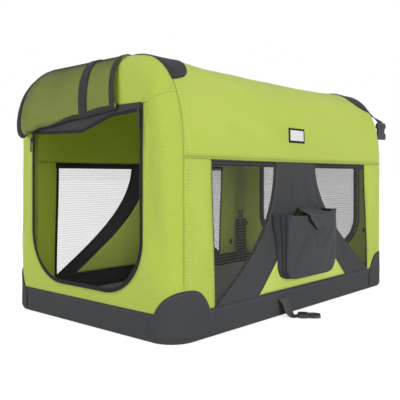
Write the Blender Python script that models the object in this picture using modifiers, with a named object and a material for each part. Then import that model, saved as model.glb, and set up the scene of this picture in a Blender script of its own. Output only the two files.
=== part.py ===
"""A folding soft-sided pet carrier: fabric walls on a steel frame that folds flat.

Metres, +Z up. +X runs from the front door to the rear door. The right side, at -Y, has the pocket.
The origin is the centre of the underside.
"""

from math import asin, cos, pi, radians, sin, sqrt

import bmesh
import bpy
from mathutils import Matrix, Vector

# Body of the carrier
LENGTH = 0.800
WIDTH = 0.482
HEIGHT = 0.500
CORNER_RADIUS = 0.050
SHOULDER_ACROSS = 0.125
SHOULDER_HIGH = 0.180
SHOULDER_SQUARE = 0.85
END_ROUNDING = 0.029
SEAM_BACK = 0.029
SIDE_BOW = 0.022
BOW_STARTS = 0.010
ROOF_SAG = 0.004
FRONT_DROOP = 0.030
DROOP_FROM = -0.140
DROOP_TO = 0.090
FABRIC = 0.0015
GAP = 0.0003

# Base tub and floor
BAND = 0.050
TUB_EDGE_RADIUS = 0.006
BOARD = 0.003
BOARD_INSET = 0.009
MAT_RISE = 0.0200
MAT_CLEARANCE = 0.0015
MAT_CHANNEL = 0.004
MAT_CHANNELS = 5
MAT_CHANNEL_SHARPNESS = 1.6
MAT_SEAM_UP = 0.009
MAT_CROWN_POWER = 8
MAT_WAIST = 0.012
MAT_FOOT_DRAWN_IN = 0.010

# Steel frame
TUBE_RADIUS = 0.008
HOOP_BEHIND_SEAM = 0.002
LEG_FROM_SIDE = 0.0251
RAIL_LIFT = 0.0018
FRONT_PIVOT = 0.0360
REAR_PIVOT = 0.1160
EYE_RADIUS = 0.0088
PIN_RADIUS = 0.003
PIN_PLAY = 0.0003
PIN_HEAD = 0.0022
PIN_HEAD_RADIUS = 0.0048
BRACKET_WALL = 0.003
FOOT_LENGTH = 0.030
FOOT_COVER = 0.002
STOP_ABOVE_PIVOT = 0.036
KNOB_ABOVE_PIVOT = 0.024
KNOB_BOSS = 0.0054
KNOB_BOSS_RADIUS = 0.0060
KNOB_NOSE_RADIUS = 0.0025
KNOB_HEAD_RADIUS = 0.0070
KNOB_HEAD = 0.0060

# Side windows and centre panels
WINDOW_TOP = 0.312
WINDOW_FROM_END = 0.105
CENTRE_HALF = 0.076
WINDOW_HANDLE_TOP = 0.115
WINDOW_HANDLE_FOOT = 0.120
WINDOW_FOOT_SLOPE = radians(34.0)
NET_HOLE = 0.028
NET_STRAND = 0.007
NET_MARGIN = 0.009

# Doors and zips
DOOR_HALF = 0.167
DOOR_BOTTOM = 0.072
DOOR_TOP = 0.408
DOOR_RADIUS = 0.100
ZIP_TAPE = 0.006
ZIP_PROUD = 0.0012
ZIP_BEHIND = 0.0018
SLIDER_WIDE = 0.0080
SLIDER_LONG = 0.0110
SLIDER_THICK = 0.0040
RIGHT_SLIDER_TOP = 0.404
LEFT_SLIDER_TOP = 0.364
PULL_WIDE = 0.0050
PULL_THICK = 0.0014
RIGHT_PULL = 0.034
LEFT_PULL = 0.026
REAR_PULL = 0.024
SLIDERS_APART = 0.024

# Front door, flipped up over the front edge
ROLL_RIGHT = -0.106
ROLL_LEFT = 0.185
ROLL_FABRIC = 0.0025
ROLL_LOW_RIGHT = 0.394
ROLL_LOW_LEFT = 0.368
ROLL_BULGE_RIGHT = 0.006
ROLL_BULGE_LEFT = 0.020
ROLL_ABOVE = 0.0040
ROLL_OVER_SEAM = (0.0, 0.3, 0.6, 0.8, 0.92)
ROLL_FACE = ((0.45, 0.25), (1.0, 0.60))
ROLL_FOLD = ((1.0, 0.50), (0.55, 0.0), (0.0, 0.35))
ROLL_STRAP_Y = -0.022
WEBBING = 0.025

# Patches, pocket and label
PATCH = 0.0010
LOW_PATCH_HIGH = 0.093
LOW_PATCH_END = 0.048
LOW_PATCH_SIDE = 0.100
LOW_PATCH_FLOOR = 0.008
LOW_DOME_IN = 0.45
LOW_DOME_SHARES = (0.62, 1.05, 1.06)
TOP_PATCH_LONG = 0.070
TOP_PATCH_HIGH = 0.055
TOP_PATCH_ACROSS = 0.150
TOP_DOME_IN = 0.55
TOP_DOME_SHARES = (1.0, 0.50, 1.35)
POCKET_HALF = 0.100
POCKET_BOTTOM = 0.074
POCKET_TOP = 0.206
POCKET_DEPTH = 0.028
POCKET_RADIUS = 0.030
POCKET_WALL = 0.0020
FLAP_FROM = -0.032
FLAP_TO = 0.060
FLAP_DROP = 0.026
FLAP_POINT = 0.008
FLAP = 0.0016
LABEL_HALF = 0.030
LABEL_X = 0.002
LABEL_BELOW_ROOF = 0.114
LABEL_TALL = 0.032

# Straps and buckles
STRAP_X = -0.092
STRAP_Z = 0.036
STRAP_HEADING = radians(-58.0)
STRAP_TWIST = 0.020
STRAP_FABRIC = 0.0016
BUCKLE_WIDE = 0.033
BUCKLE_BODY = 0.020
BUCKLE_PRONGS = 0.024
BUCKLE_THICK = 0.0085
SIDE_BUCKLE_FROM = 0.034
REAR_STRAP_BELOW_ROOF = 0.048
REAR_STRAP_DROP = 0.028
REAR_WEBBING = 0.020
REAR_STRAP_TWIST = radians(60.0)

END_X = LENGTH / 2
SIDE_Y = WIDTH / 2
SEAM_X = END_X - SEAM_BACK
HOOP_X = SEAM_X - HOOP_BEHIND_SEAM
LEG_Y = SIDE_Y - LEG_FROM_SIDE
SHOULDER_Y = SIDE_Y - SHOULDER_ACROSS
SHOULDER_Z = HEIGHT - SHOULDER_HIGH
FLOOR_TOP = FABRIC + GAP + BOARD
FOOT_BOTTOM = FLOOR_TOP + GAP
RAIL_Z = FOOT_BOTTOM + RAIL_LIFT + TUBE_RADIUS
FOOT_TOP = RAIL_Z + TUBE_RADIUS + GAP + FOOT_COVER
BORE_RADIUS = TUBE_RADIUS + GAP
SLOT_HALF = TUBE_RADIUS + GAP
BRACKET_IN = SLOT_HALF + BRACKET_WALL
WINDOW_X = END_X - WINDOW_FROM_END
ZIP_FACE = END_X + ZIP_PROUD
REAR_STRAP_Z = HEIGHT - REAR_STRAP_BELOW_ROOF

ENDS = (("front", -1), ("rear", 1))
SIDES = (("right", -1), ("left", 1))


for old in list(bpy.data.objects):
    bpy.data.objects.remove(old)

parts = bpy.data.collections.new("pet_carrier")
cutters = bpy.data.collections.new("cutters")
bpy.context.scene.collection.children.link(parts)
bpy.context.scene.collection.children.link(cutters)


def material(name, colour, roughness, metallic=0.0):
    made = bpy.data.materials.new(name)
    made.use_nodes = True
    shader = made.node_tree.nodes["Principled BSDF"]
    shader.inputs["Base Color"].default_value = (*colour, 1.0)
    shader.inputs["Roughness"].default_value = roughness
    shader.inputs["Metallic"].default_value = metallic
    return made


GREEN = material("lime_oxford", (0.445, 0.604, 0.098), 0.85)
CHARCOAL = material("charcoal_oxford", (0.054, 0.056, 0.060), 0.85)
MESH = material("black_mesh", (0.020, 0.020, 0.021), 0.70)
WEB = material("charcoal_webbing", (0.040, 0.040, 0.043), 0.80)
STEEL = material("coated_steel", (0.060, 0.060, 0.065), 0.35, 0.9)
PLASTIC = material("black_plastic", (0.025, 0.025, 0.027), 0.45)
ZINC = material("dark_zinc", (0.110, 0.110, 0.115), 0.35, 1.0)
BOARD_BLACK = material("black_board", (0.030, 0.030, 0.032), 0.70)
FLEECE = material("grey_fleece", (0.075, 0.077, 0.082), 0.95)


def place(name, mesh, finish=None, origin=None, smooth=True):
    """An object of this mesh: a part where it has a finish, otherwise a cutter or helper."""
    obj = bpy.data.objects.new(name, mesh)
    if finish is None:
        cutters.objects.link(obj)
        obj.hide_render = True
        obj.display_type = "WIRE"
        return obj
    parts.objects.link(obj)
    mesh.materials.append(finish)
    if smooth:
        mesh.shade_smooth()
        mesh.set_sharp_from_angle(angle=radians(35.0))
    if origin is not None:
        mesh.transform(Matrix.Translation(-Vector(origin)))
        obj.location = origin
    return obj


def mesh_of(name, build):
    """A mesh filled by build(bm), with its faces turned outwards."""
    bm = bmesh.new()
    build(bm)
    bmesh.ops.recalc_face_normals(bm, faces=bm.faces)
    mesh = bpy.data.meshes.new(name)
    bm.to_mesh(mesh)
    bm.free()
    return mesh


def box_mesh(name, low, high):
    size = [b - a for a, b in zip(low, high)]
    middle = [(a + b) / 2 for a, b in zip(low, high)]
    placed = Matrix.Translation(middle) @ Matrix.Diagonal((*size, 1.0))
    return mesh_of(name, lambda bm: bmesh.ops.create_cube(bm, size=1.0, matrix=placed))


def rod_mesh(name, start, end, radius, segments=16):
    start = Vector(start)
    along = Vector(end) - start
    turn = along.to_track_quat("Z", "Y").to_matrix().to_4x4()
    placed = Matrix.Translation(start + along / 2) @ turn
    return mesh_of(
        name,
        lambda bm: bmesh.ops.create_cone(
            bm,
            cap_ends=True,
            segments=segments,
            radius1=radius,
            radius2=radius,
            depth=along.length,
            matrix=placed,
        ),
    )


def prism_mesh(name, outline, axis, low, high):
    """A flat outline, given in the other two axes in order, drawn out along axis from low to high."""

    def build(bm):
        corners = []
        for a, b in outline:
            point = [a, b]
            point.insert("XYZ".index(axis), low)
            corners.append(bm.verts.new(point))
        face = bm.faces.new(corners)
        drawn = bmesh.ops.extrude_face_region(bm, geom=[face])
        moved = [v for v in drawn["geom"] if isinstance(v, bmesh.types.BMVert)]
        step = Vector([high - low if letter == axis else 0.0 for letter in "XYZ"])
        bmesh.ops.translate(bm, verts=moved, vec=step)

    return mesh_of(name, build)


def tube_mesh(name, points, radius):
    """The closed mesh of a curve with a round section, its caps welded on."""
    curve = bpy.data.curves.new(name, "CURVE")
    curve.dimensions = "3D"
    curve.bevel_depth = radius
    curve.bevel_resolution = 3
    curve.use_fill_caps = True
    spline = curve.splines.new("POLY")
    spline.points.add(len(points) - 1)
    for spot, point in zip(spline.points, points):
        spot.co = (*point, 1.0)
    made = bpy.data.objects.new(name, curve)
    bpy.context.scene.collection.objects.link(made)
    graph = bpy.context.evaluated_depsgraph_get()
    mesh = bpy.data.meshes.new_from_object(made.evaluated_get(graph))
    bpy.data.objects.remove(made)
    bm = bmesh.new()
    bm.from_mesh(mesh)
    bmesh.ops.remove_doubles(bm, verts=bm.verts, dist=1e-5)
    bmesh.ops.recalc_face_normals(bm, faces=bm.faces)
    bm.to_mesh(mesh)
    bm.free()
    return mesh


def grid_mesh(name, grid, close=False, cap=False):
    """A sheet of triangles through a grid of points. close joins the last column to the first, and cap
    fills the last row with one flat face."""

    def build(bm):
        rows = [[bm.verts.new(point) for point in row] for row in grid]
        columns = len(grid[0])
        for below, above in zip(rows, rows[1:]):
            for j in range(columns if close else columns - 1):
                k = (j + 1) % columns
                bm.faces.new((below[j], below[k], above[k]))
                bm.faces.new((below[j], above[k], above[j]))
        if cap:
            bm.faces.new(rows[-1])

    return mesh_of(name, build)


def turn_outwards(mesh, away_from):
    """Makes an open sheet's faces point away from a point inside it."""
    middle = Vector(away_from)
    facing = sum((face.center - middle).dot(face.normal) * face.area for face in mesh.polygons)
    if facing < 0:
        mesh.flip_normals()
    return mesh


def thicken(obj, thickness, outwards=False):
    solid = obj.modifiers.new("wall", "SOLIDIFY")
    solid.thickness = thickness
    solid.offset = 1.0 if outwards else -1.0
    return obj


def boolean(obj, operation, mesh):
    """Joins, cuts or trims obj by a helper made from this mesh."""
    change = obj.modifiers.new(mesh.name, "BOOLEAN")
    change.operation = operation
    change.solver = "EXACT"
    change.object = place(mesh.name, mesh)
    return obj


def round_edges(obj, width, segments=2):
    bevel = obj.modifiers.new("rounded edges", "BEVEL")
    bevel.width = width
    bevel.segments = segments
    bevel.limit_method = "ANGLE"
    bevel.angle_limit = radians(40.0)
    return obj


def smooth_step(t):
    t = min(max(t, 0.0), 1.0)
    return t * t * (3.0 - 2.0 * t)


def drawn_in(reach, radius):
    """How far a rounded corner has drawn in at this distance from the face that it turns into."""
    if reach >= radius:
        return 0.0
    return radius - sqrt(max(radius**2 - (radius - max(reach, 0.0)) ** 2, 0.0))


def hang(x):
    """How freely the fabric hangs between the hoops: 0 at a hoop and 1 half way."""
    return max(0.0, 1.0 - (x / SEAM_X) ** 2)


def bow(x, z):
    """How far the side wall bows in."""
    low = BAND + BOW_STARTS
    rise = smooth_step((z - low) / (WINDOW_TOP - low))
    fade = 1.0 - 0.6 * smooth_step((z - SHOULDER_Z) / SHOULDER_HIGH)
    return SIDE_BOW * hang(x) * rise * fade


def sag(x, z):
    return ROOF_SAG * hang(x) * smooth_step((z - SHOULDER_Z) / SHOULDER_HIGH)


def side_y(x, z, inset=0.0):
    """Half the body's width at this place below the shoulder, inset from its outer face."""
    reach = END_X - abs(x) - inset
    return SIDE_Y - inset - drawn_in(reach, CORNER_RADIUS - inset) - bow(x, z)


def squared(angle):
    """A quarter turn's cosine and sine, a little squarer than a circle's."""
    return max(cos(angle), 0.0) ** SHOULDER_SQUARE, max(sin(angle), 0.0) ** SHOULDER_SQUARE


def squared_angle(sine):
    """The angle that squared() gives this sine at."""
    return asin(min(max(sine, 0.0), 1.0) ** (1.0 / SHOULDER_SQUARE))


def shoulder_point(x, angle, inset=0.0):
    """(half width, height) on the shoulder, at an angle from its foot (0) to the roof (90 degrees)."""
    reach = END_X - abs(x) - inset
    across = SHOULDER_ACROSS - inset - drawn_in(reach, CORNER_RADIUS - inset)
    up = SHOULDER_HIGH - inset - drawn_in(reach, END_ROUNDING - inset)
    along, rise = squared(angle)
    y = SHOULDER_Y + across * along
    z = SHOULDER_Z + up * rise
    return y - bow(x, z), z - sag(x, z)


def shoulder_width(x, z):
    """Half the body's width at this height of the shoulder, near an end."""
    up = shoulder_point(x, pi / 2)[1] - SHOULDER_Z
    return shoulder_point(x, squared_angle((z - SHOULDER_Z) / up))[0]


def shoulder_z(x, y):
    """The body's height at this place of the shoulder or the roof, near an end."""
    across = shoulder_point(x, 0.0)[0] - SHOULDER_Y
    up = shoulder_point(x, pi / 2)[1] - SHOULDER_Z
    over = squared_angle((abs(y) - SHOULDER_Y) / across)
    return SHOULDER_Z + up * squared(pi / 2 - over)[1]


def front_droop(x, y, z):
    """How far the front's top edge hangs, ahead of its hoop and away from the right shoulder."""
    ahead = smooth_step((-x - (SEAM_X - HOOP_BEHIND_SEAM + TUBE_RADIUS)) / (SEAM_BACK / 2))
    leftwards = smooth_step((y - DROOP_FROM) / (DROOP_TO - DROOP_FROM))
    return FRONT_DROOP * ahead * leftwards * smooth_step((z - DOOR_TOP) / (HEIGHT - END_ROUNDING - DOOR_TOP))


def arch(x, foot, inset=0.0, wall_steps=3, shoulder_steps=8, roof_steps=4):
    """The body's section at x, from the right foot over the roof to the left foot."""
    half = [
        (side_y(x, z, inset), z)
        for z in steps(foot, SHOULDER_Z, wall_steps)[:-1]
    ]
    half += [shoulder_point(x, angle, inset) for angle in steps(0.0, pi / 2, shoulder_steps)]
    edge, top = half[-1]
    roof = [(y, top) for y in steps(-edge, edge, roof_steps)[1:-1]]
    section = [(-y, z) for y, z in half] + roof + [(y, z) for y, z in reversed(half)]
    return [(x, y, z) for y, z in section]


def steps(low, high, count):
    return [low + (high - low) * n / count for n in range(count + 1)]


def plan(inset, corner_steps=6):
    """The body's outline in plan, as (x, y) points round its four corners."""
    radius = CORNER_RADIUS - inset
    points = []
    for quarter in range(4):
        cx = (END_X - CORNER_RADIUS) * (1 if quarter in (0, 3) else -1)
        cy = (SIDE_Y - CORNER_RADIUS) * (1 if quarter < 2 else -1)
        for angle in steps(quarter * pi / 2, (quarter + 1) * pi / 2, corner_steps):
            points.append((cx + radius * cos(angle), cy + radius * sin(angle)))
    return points


def base_tub():
    """The floor and the charcoal band round it, in one piece."""
    edge = TUB_EDGE_RADIUS
    rings = [(0.0, BAND - GAP)] + [
        (edge * (1 - cos(angle)), edge * (1 - sin(angle))) for angle in steps(0.0, pi / 2, 3)
    ]
    grid = [[(x, y, z) for x, y in plan(inset)] for inset, z in rings]
    mesh = grid_mesh("base_tub", grid, close=True, cap=True)
    turn_outwards(mesh, (0.0, 0.0, BAND))
    return thicken(place("base_tub", mesh, CHARCOAL), FABRIC)


def floor_board():
    low = FABRIC + GAP
    mesh = prism_mesh("floor_board", plan(BOARD_INSET), "Z", low, low + BOARD)
    return place("floor_board", mesh, BOARD_BLACK)


def floor_mat():
    """A thin crowned pad with stitched channels across it and sides that pull in."""
    half_x = HOOP_X - TUBE_RADIUS - MAT_CLEARANCE
    half_y = LEG_Y - BRACKET_IN - MAT_CLEARANCE
    bottom = FOOT_BOTTOM
    seam_z = bottom + MAT_SEAM_UP

    def level(u, v):
        crown = (1.0 - abs(u) ** MAT_CROWN_POWER) * (1.0 - abs(v) ** MAT_CROWN_POWER)
        channel = abs(sin((u + 1.0) / 2.0 * pi * (MAT_CHANNELS + 1)))
        rise = (MAT_RISE - MAT_CHANNEL) + MAT_CHANNEL * min(1.0, channel * MAT_CHANNEL_SHARPNESS)
        return seam_z + (bottom + rise - seam_z) * crown

    along = steps(-1.0, 1.0, 4 * (MAT_CHANNELS + 1))
    across = steps(-1.0, 1.0, 10)

    def plan_of(u, v):
        pull = 1.0 - MAT_WAIST * (1.0 - abs(u)) * (1.0 - abs(v))
        return half_x * u * pull, half_y * v * pull

    def build(bm):
        tops = [[bm.verts.new((*plan_of(u, v), level(u, v))) for v in across] for u in along]
        for near, far in zip(tops, tops[1:]):
            for j in range(len(across) - 1):
                bm.faces.new((near[j], near[j + 1], far[j + 1], far[j]))
        rim = tops[0] + [row[-1] for row in tops[1:]]
        rim += list(reversed(tops[-1][:-1])) + [row[0] for row in reversed(tops[1:-1])]
        shrink = 1.0 - MAT_FOOT_DRAWN_IN
        foot = [bm.verts.new((v.co.x * shrink, v.co.y * shrink, bottom)) for v in rim]
        for j in range(len(rim)):
            k = (j + 1) % len(rim)
            bm.faces.new((rim[j], rim[k], foot[k], foot[j]))
        bm.faces.new(foot)

    return place("floor_mat", mesh_of("floor_mat", build), FLEECE)


def base_rails():
    """Four straight tubes whose ends stand in the brackets' feet."""
    reach = HOOP_X - TUBE_RADIUS - 4 * GAP - FABRIC
    for side, sy in SIDES:
        y = sy * LEG_Y
        name = f"base_rail_{side}"
        place(name, rod_mesh(name, (-reach, y, RAIL_Z), (reach, y, RAIL_Z), TUBE_RADIUS), STEEL)
    for end, sx in ENDS:
        x = sx * HOOP_X
        name = f"base_rail_{end}"
        place(name, rod_mesh(name, (x, -LEG_Y, RAIL_Z), (x, LEG_Y, RAIL_Z), TUBE_RADIUS), STEEL)


def hinge_bracket(end, sx, side, sy, pivot):
    """A moulded post with a slot for the hoop's leg, on a foot that holds two rails."""
    name = f"hinge_bracket_{end}_{side}"
    outer = SLOT_HALF + BRACKET_WALL - GAP
    back = sx * (HOOP_X + EYE_RADIUS + GAP)
    rear_face = sx * (HOOP_X + EYE_RADIUS + GAP + BRACKET_WALL)
    open_face = sx * (HOOP_X - BRACKET_IN)
    top = pivot + STOP_ABOVE_PIVOT
    inner_y = sy * (LEG_Y - BRACKET_IN)
    outer_y = sy * (LEG_Y + outer)

    def block(label, xs, ys, zs):
        low = (min(xs), min(ys), zs[0])
        high = (max(xs), max(ys), zs[1])
        return box_mesh(f"{name}_{label}", low, high)

    post = block("post", (rear_face, open_face), (inner_y, outer_y), (FOOT_BOTTOM, top))
    obj = place(name, post, PLASTIC, smooth=False)
    foot_end = sx * (HOOP_X - FOOT_LENGTH)
    foot = block("foot", (rear_face, foot_end), (inner_y, outer_y), (FOOT_BOTTOM, FOOT_TOP))
    boolean(obj, "UNION", foot)
    knob_z = pivot + KNOB_ABOVE_PIVOT
    boss_y = sy * (LEG_Y - BRACKET_IN - KNOB_BOSS)
    middle_y = sy * (LEG_Y - SLOT_HALF - BRACKET_WALL / 2)
    x = sx * HOOP_X
    boss = rod_mesh(f"{name}_boss", (x, middle_y, knob_z), (x, boss_y, knob_z), KNOB_BOSS_RADIUS)
    boolean(obj, "UNION", boss)
    slot_open = sx * (HOOP_X - 2 * BRACKET_IN)
    slot_bottom = max(pivot - EYE_RADIUS - 2 * GAP, FOOT_TOP)
    slot = block(
        "slot",
        (back, slot_open),
        (sy * (LEG_Y - SLOT_HALF), sy * (LEG_Y + SLOT_HALF)),
        (slot_bottom, top + BRACKET_WALL),
    )
    boolean(obj, "DIFFERENCE", slot)
    beyond = sx * (HOOP_X - 2 * FOOT_LENGTH)
    side_start = sx * (HOOP_X - TUBE_RADIUS - 3 * GAP - FABRIC)
    side_bore = rod_mesh(
        f"{name}_side_bore", (side_start, sy * LEG_Y, RAIL_Z), (beyond, sy * LEG_Y, RAIL_Z), BORE_RADIUS
    )
    boolean(obj, "DIFFERENCE", side_bore)
    inside = sy * (LEG_Y - 2 * FOOT_LENGTH)
    end_bore = rod_mesh(
        f"{name}_end_bore", (x, sy * (LEG_Y + GAP), RAIL_Z), (x, inside, RAIL_Z), BORE_RADIUS
    )
    boolean(obj, "DIFFERENCE", end_bore)
    pin_ends = (sy * (LEG_Y - 2 * BRACKET_IN), sy * (LEG_Y + 2 * BRACKET_IN))
    pin_bore = rod_mesh(
        f"{name}_pin_bore", (x, pin_ends[0], pivot), (x, pin_ends[1], pivot), PIN_RADIUS + PIN_PLAY
    )
    boolean(obj, "DIFFERENCE", pin_bore)
    nose_bore = rod_mesh(
        f"{name}_nose_bore",
        (x, sy * LEG_Y, knob_z),
        (x, boss_y - sy * BRACKET_WALL, knob_z),
        KNOB_NOSE_RADIUS + GAP,
    )
    boolean(obj, "DIFFERENCE", nose_bore)


def turned(name, profile, origin, direction, finish):
    """A turned piece: (radius, distance along the axis) pairs from its far end back to its origin."""

    def build(bm):
        spots = [bm.verts.new((r, 0.0, h)) for r, h in profile]
        for a, b in zip(spots, spots[1:]):
            bm.edges.new((a, b))

    obj = place(name, mesh_of(name, build), finish, smooth=False)
    screw = obj.modifiers.new("turned", "SCREW")
    screw.steps = 20
    screw.render_steps = 20
    screw.use_merge_vertices = True
    screw.merge_threshold = 1e-5
    screw.use_smooth_shade = True
    obj.location = origin
    obj.rotation_euler = Vector(direction).to_track_quat("Z", "Y").to_euler()
    return obj


def hinge_pin(end, sx, side, sy, pivot):
    """A pin through the bracket's ears and the leg's eye, its head on the outside."""
    outer = LEG_Y + SLOT_HALF + BRACKET_WALL
    length = outer - (LEG_Y - BRACKET_IN - FABRIC)
    profile = [
        (0.0, length),
        (PIN_RADIUS, length),
        (PIN_RADIUS, 0.0),
        (PIN_HEAD_RADIUS, 0.0),
        (PIN_HEAD_RADIUS, -PIN_HEAD),
        (0.0, -PIN_HEAD),
    ]
    origin = (sx * HOOP_X, sy * outer, pivot)
    turned(f"hinge_pin_{end}_{side}", profile, origin, (0.0, -sy, 0.0), ZINC)


def lock_knob(end, sx, side, sy, pivot):
    """A spring plunger: its nose stops just short of the leg, and it is pulled inwards to free it."""
    boss_face = BRACKET_IN + KNOB_BOSS
    nose = boss_face - SLOT_HALF
    profile = [
        (0.0, nose),
        (KNOB_NOSE_RADIUS, nose),
        (KNOB_NOSE_RADIUS, -GAP),
        (KNOB_HEAD_RADIUS, -GAP),
        (KNOB_HEAD_RADIUS, -GAP - KNOB_HEAD * 0.7),
        (KNOB_HEAD_RADIUS * 0.8, -GAP - KNOB_HEAD),
        (0.0, -GAP - KNOB_HEAD),
    ]
    origin = (sx * HOOP_X, sy * (LEG_Y - boss_face), pivot + KNOB_ABOVE_PIVOT)
    turned(f"lock_knob_{end}_{side}", profile, origin, (0.0, sy, 0.0), PLASTIC)


def hoop(end, sx, pivot):
    """A bent tube from one bracket over the roof to the other, with an eye round each pin."""
    name = f"{end}_hoop"
    x = sx * HOOP_X
    crown = HEIGHT - FABRIC - GAP - TUBE_RADIUS
    across = LEG_Y - SHOULDER_Y
    up = crown - SHOULDER_Z
    half = [(LEG_Y, pivot), (LEG_Y, SHOULDER_Z - up * 0.15)]
    for angle in steps(0.0, pi / 2, 9):
        along, rise = squared(angle)
        half.append((SHOULDER_Y + across * along, SHOULDER_Z + up * rise))
    path = [(x, -y, z) for y, z in half] + [(x, y, z) for y, z in reversed(half)]
    obj = place(name, tube_mesh(name, path, TUBE_RADIUS), STEEL, origin=(x, 0.0, pivot))
    eye_half = TUBE_RADIUS - GAP
    for side, sy in SIDES:
        ends = [sy * LEG_Y - eye_half, sy * LEG_Y + eye_half]
        eye = rod_mesh(f"{name}_eye_{side}", (x, ends[0], pivot), (x, ends[1], pivot), EYE_RADIUS)
        boolean(obj, "UNION", eye)
    for side, sy in SIDES:
        ends = [sy * LEG_Y - 2 * TUBE_RADIUS, sy * LEG_Y + 2 * TUBE_RADIUS]
        bore = rod_mesh(
            f"{name}_bore_{side}", (x, ends[0], pivot), (x, ends[1], pivot), PIN_RADIUS + PIN_PLAY
        )
        boolean(obj, "DIFFERENCE", bore)


def end_stations():
    """Stations from an end seam to where the rounded corner has run out."""
    return steps(SEAM_X - GAP, END_X - CORNER_RADIUS, 2)


def roof_panel():
    """Green fabric over both shoulders, from one window line to the other."""
    ends = end_stations()
    xs = [-x for x in ends[:-1]] + steps(-ends[-1], ends[-1], 8) + list(reversed(ends[:-1]))
    grid = [arch(x, WINDOW_TOP + GAP, wall_steps=1) for x in xs]
    mesh = turn_outwards(grid_mesh("roof_panel", grid), (0.0, 0.0, WINDOW_TOP))
    return thicken(place("roof_panel", mesh, GREEN), FABRIC)


def door_outline(inset=0.0, corner_steps=8):
    """The U of a door opening, as (y, z) points from its top right down and round to its top left."""
    radius = DOOR_RADIUS - inset
    cy = DOOR_HALF - DOOR_RADIUS
    cz = DOOR_BOTTOM + DOOR_RADIUS
    points = [(-DOOR_HALF + inset, DOOR_TOP)]
    for angle in steps(pi, 1.5 * pi, corner_steps):
        points.append((-cy + radius * cos(angle), cz + radius * sin(angle)))
    for angle in steps(1.5 * pi, 2.0 * pi, corner_steps):
        points.append((cy + radius * cos(angle), cz + radius * sin(angle)))
    points.append((DOOR_HALF - inset, DOOR_TOP))
    return points


def end_panel(end, sx):
    """Green fabric round one end: the flat face with its door opening, both corners and the top edge."""
    name = f"{end}_panel"
    reaches = [CORNER_RADIUS * (1 - cos(angle)) for angle in steps(0.0, pi / 2, 7)]
    seam = SEAM_BACK - GAP - FABRIC / 2
    reaches = [seam] + [reach for reach in reversed(reaches) if reach < seam]
    grid = [arch(sx * (END_X - reach), BAND + GAP, wall_steps=2) for reach in reaches]
    grid = [[(x, y, z - front_droop(x, y, z)) for x, y, z in row] for row in grid]
    mesh = grid_mesh(name, grid, cap=True)
    turn_outwards(mesh, (0.0, 0.0, SHOULDER_Z))
    obj = thicken(place(name, mesh, GREEN), FABRIC)
    opening = door_outline(-GAP)
    opening[0] = (opening[0][0], DOOR_TOP + GAP)
    opening[-1] = (opening[-1][0], DOOR_TOP + GAP)
    ends = sorted((sx * (END_X - CORNER_RADIUS), sx * (END_X + CORNER_RADIUS)))
    boolean(obj, "DIFFERENCE", prism_mesh(f"{name}_door", opening, "X", *ends))
    return obj


def zip_track(end, sx):
    """The zip round a door opening: a narrow tape that stands a little proud."""
    name = f"{end}_zip_track"
    outline = door_outline() + list(reversed(door_outline(ZIP_TAPE)))
    ends = sorted((sx * ZIP_FACE, sx * (END_X - ZIP_BEHIND)))
    return place(name, prism_mesh(name, outline, "X", *ends), PLASTIC)


def holes_mesh(name, centres, axis, low, high):
    """Square holes of a net at these centres, drawn out along axis."""
    half = NET_HOLE / 2

    def build(bm):
        for a, b in centres:
            corners = []
            for da, db in ((-half, -half), (half, -half), (half, half), (-half, half)):
                point = [a + da, b + db]
                point.insert("XYZ".index(axis), low)
                corners.append(bm.verts.new(point))
            face = bm.faces.new(corners)
            drawn = bmesh.ops.extrude_face_region(bm, geom=[face])
            moved = [v for v in drawn["geom"] if isinstance(v, bmesh.types.BMVert)]
            step = Vector([high - low if letter == axis else 0.0 for letter in "XYZ"])
            bmesh.ops.translate(bm, verts=moved, vec=step)

    return mesh_of(name, build)


def net_centres(lows, highs, holds):
    """Centres of the holes that fit between lows and highs and that holds(a, b) allows."""
    pitch = NET_HOLE + NET_STRAND
    rows = []
    for low, high in zip(lows, highs):
        count = max(1, int((high - low - NET_STRAND) / pitch))
        first = (low + high) / 2 - (count - 1) * pitch / 2
        rows.append([first + n * pitch for n in range(count)])
    half = NET_HOLE / 2
    found = []
    for a in rows[0]:
        for b in rows[1]:
            corners = [(a + i * half, b + j * half) for i in (-1, 1) for j in (-1, 1)]
            if all(holds(*corner) for corner in corners):
                found.append((a, b))
    return found


def rear_door():
    """The rear door: a net in its zip, shut."""
    inset = ZIP_TAPE + GAP
    outline = door_outline(inset)
    faces = (END_X - FABRIC, END_X)
    obj = place("rear_door", prism_mesh("rear_door", outline, "X", *faces), MESH)
    half = DOOR_HALF - inset - NET_MARGIN
    bottom = DOOR_BOTTOM + inset + NET_MARGIN
    radius = DOOR_RADIUS - inset - NET_MARGIN

    def holds(y, z):
        below = bottom + radius - z
        beside = abs(y) - (half - radius)
        return below <= 0 or beside <= 0 or below**2 + beside**2 <= radius**2

    centres = net_centres((-half, bottom), (half, DOOR_TOP - NET_MARGIN), holds)
    holes = holes_mesh("rear_door_holes", centres, "X", END_X - 2 * ZIP_TAPE, END_X + 2 * ZIP_TAPE)
    return boolean(obj, "DIFFERENCE", holes)


def window_curve(count=12):
    """The edge between a window and the centre panel, as (distance from mid-length, z), from the top."""
    top = (CENTRE_HALF, WINDOW_TOP - GAP)
    foot = (WINDOW_X, BAND + GAP)
    a = (CENTRE_HALF, top[1] - WINDOW_HANDLE_TOP)
    b = (
        foot[0] - WINDOW_HANDLE_FOOT * cos(WINDOW_FOOT_SLOPE),
        foot[1] + WINDOW_HANDLE_FOOT * sin(WINDOW_FOOT_SLOPE),
    )
    points = []
    for t in steps(0.0, 1.0, count):
        weights = ((1 - t) ** 3, 3 * t * (1 - t) ** 2, 3 * t * t * (1 - t), t**3)
        points.append(tuple(sum(w * p[n] for w, p in zip(weights, (top, a, b, foot))) for n in (0, 1)))
    return points


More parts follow.
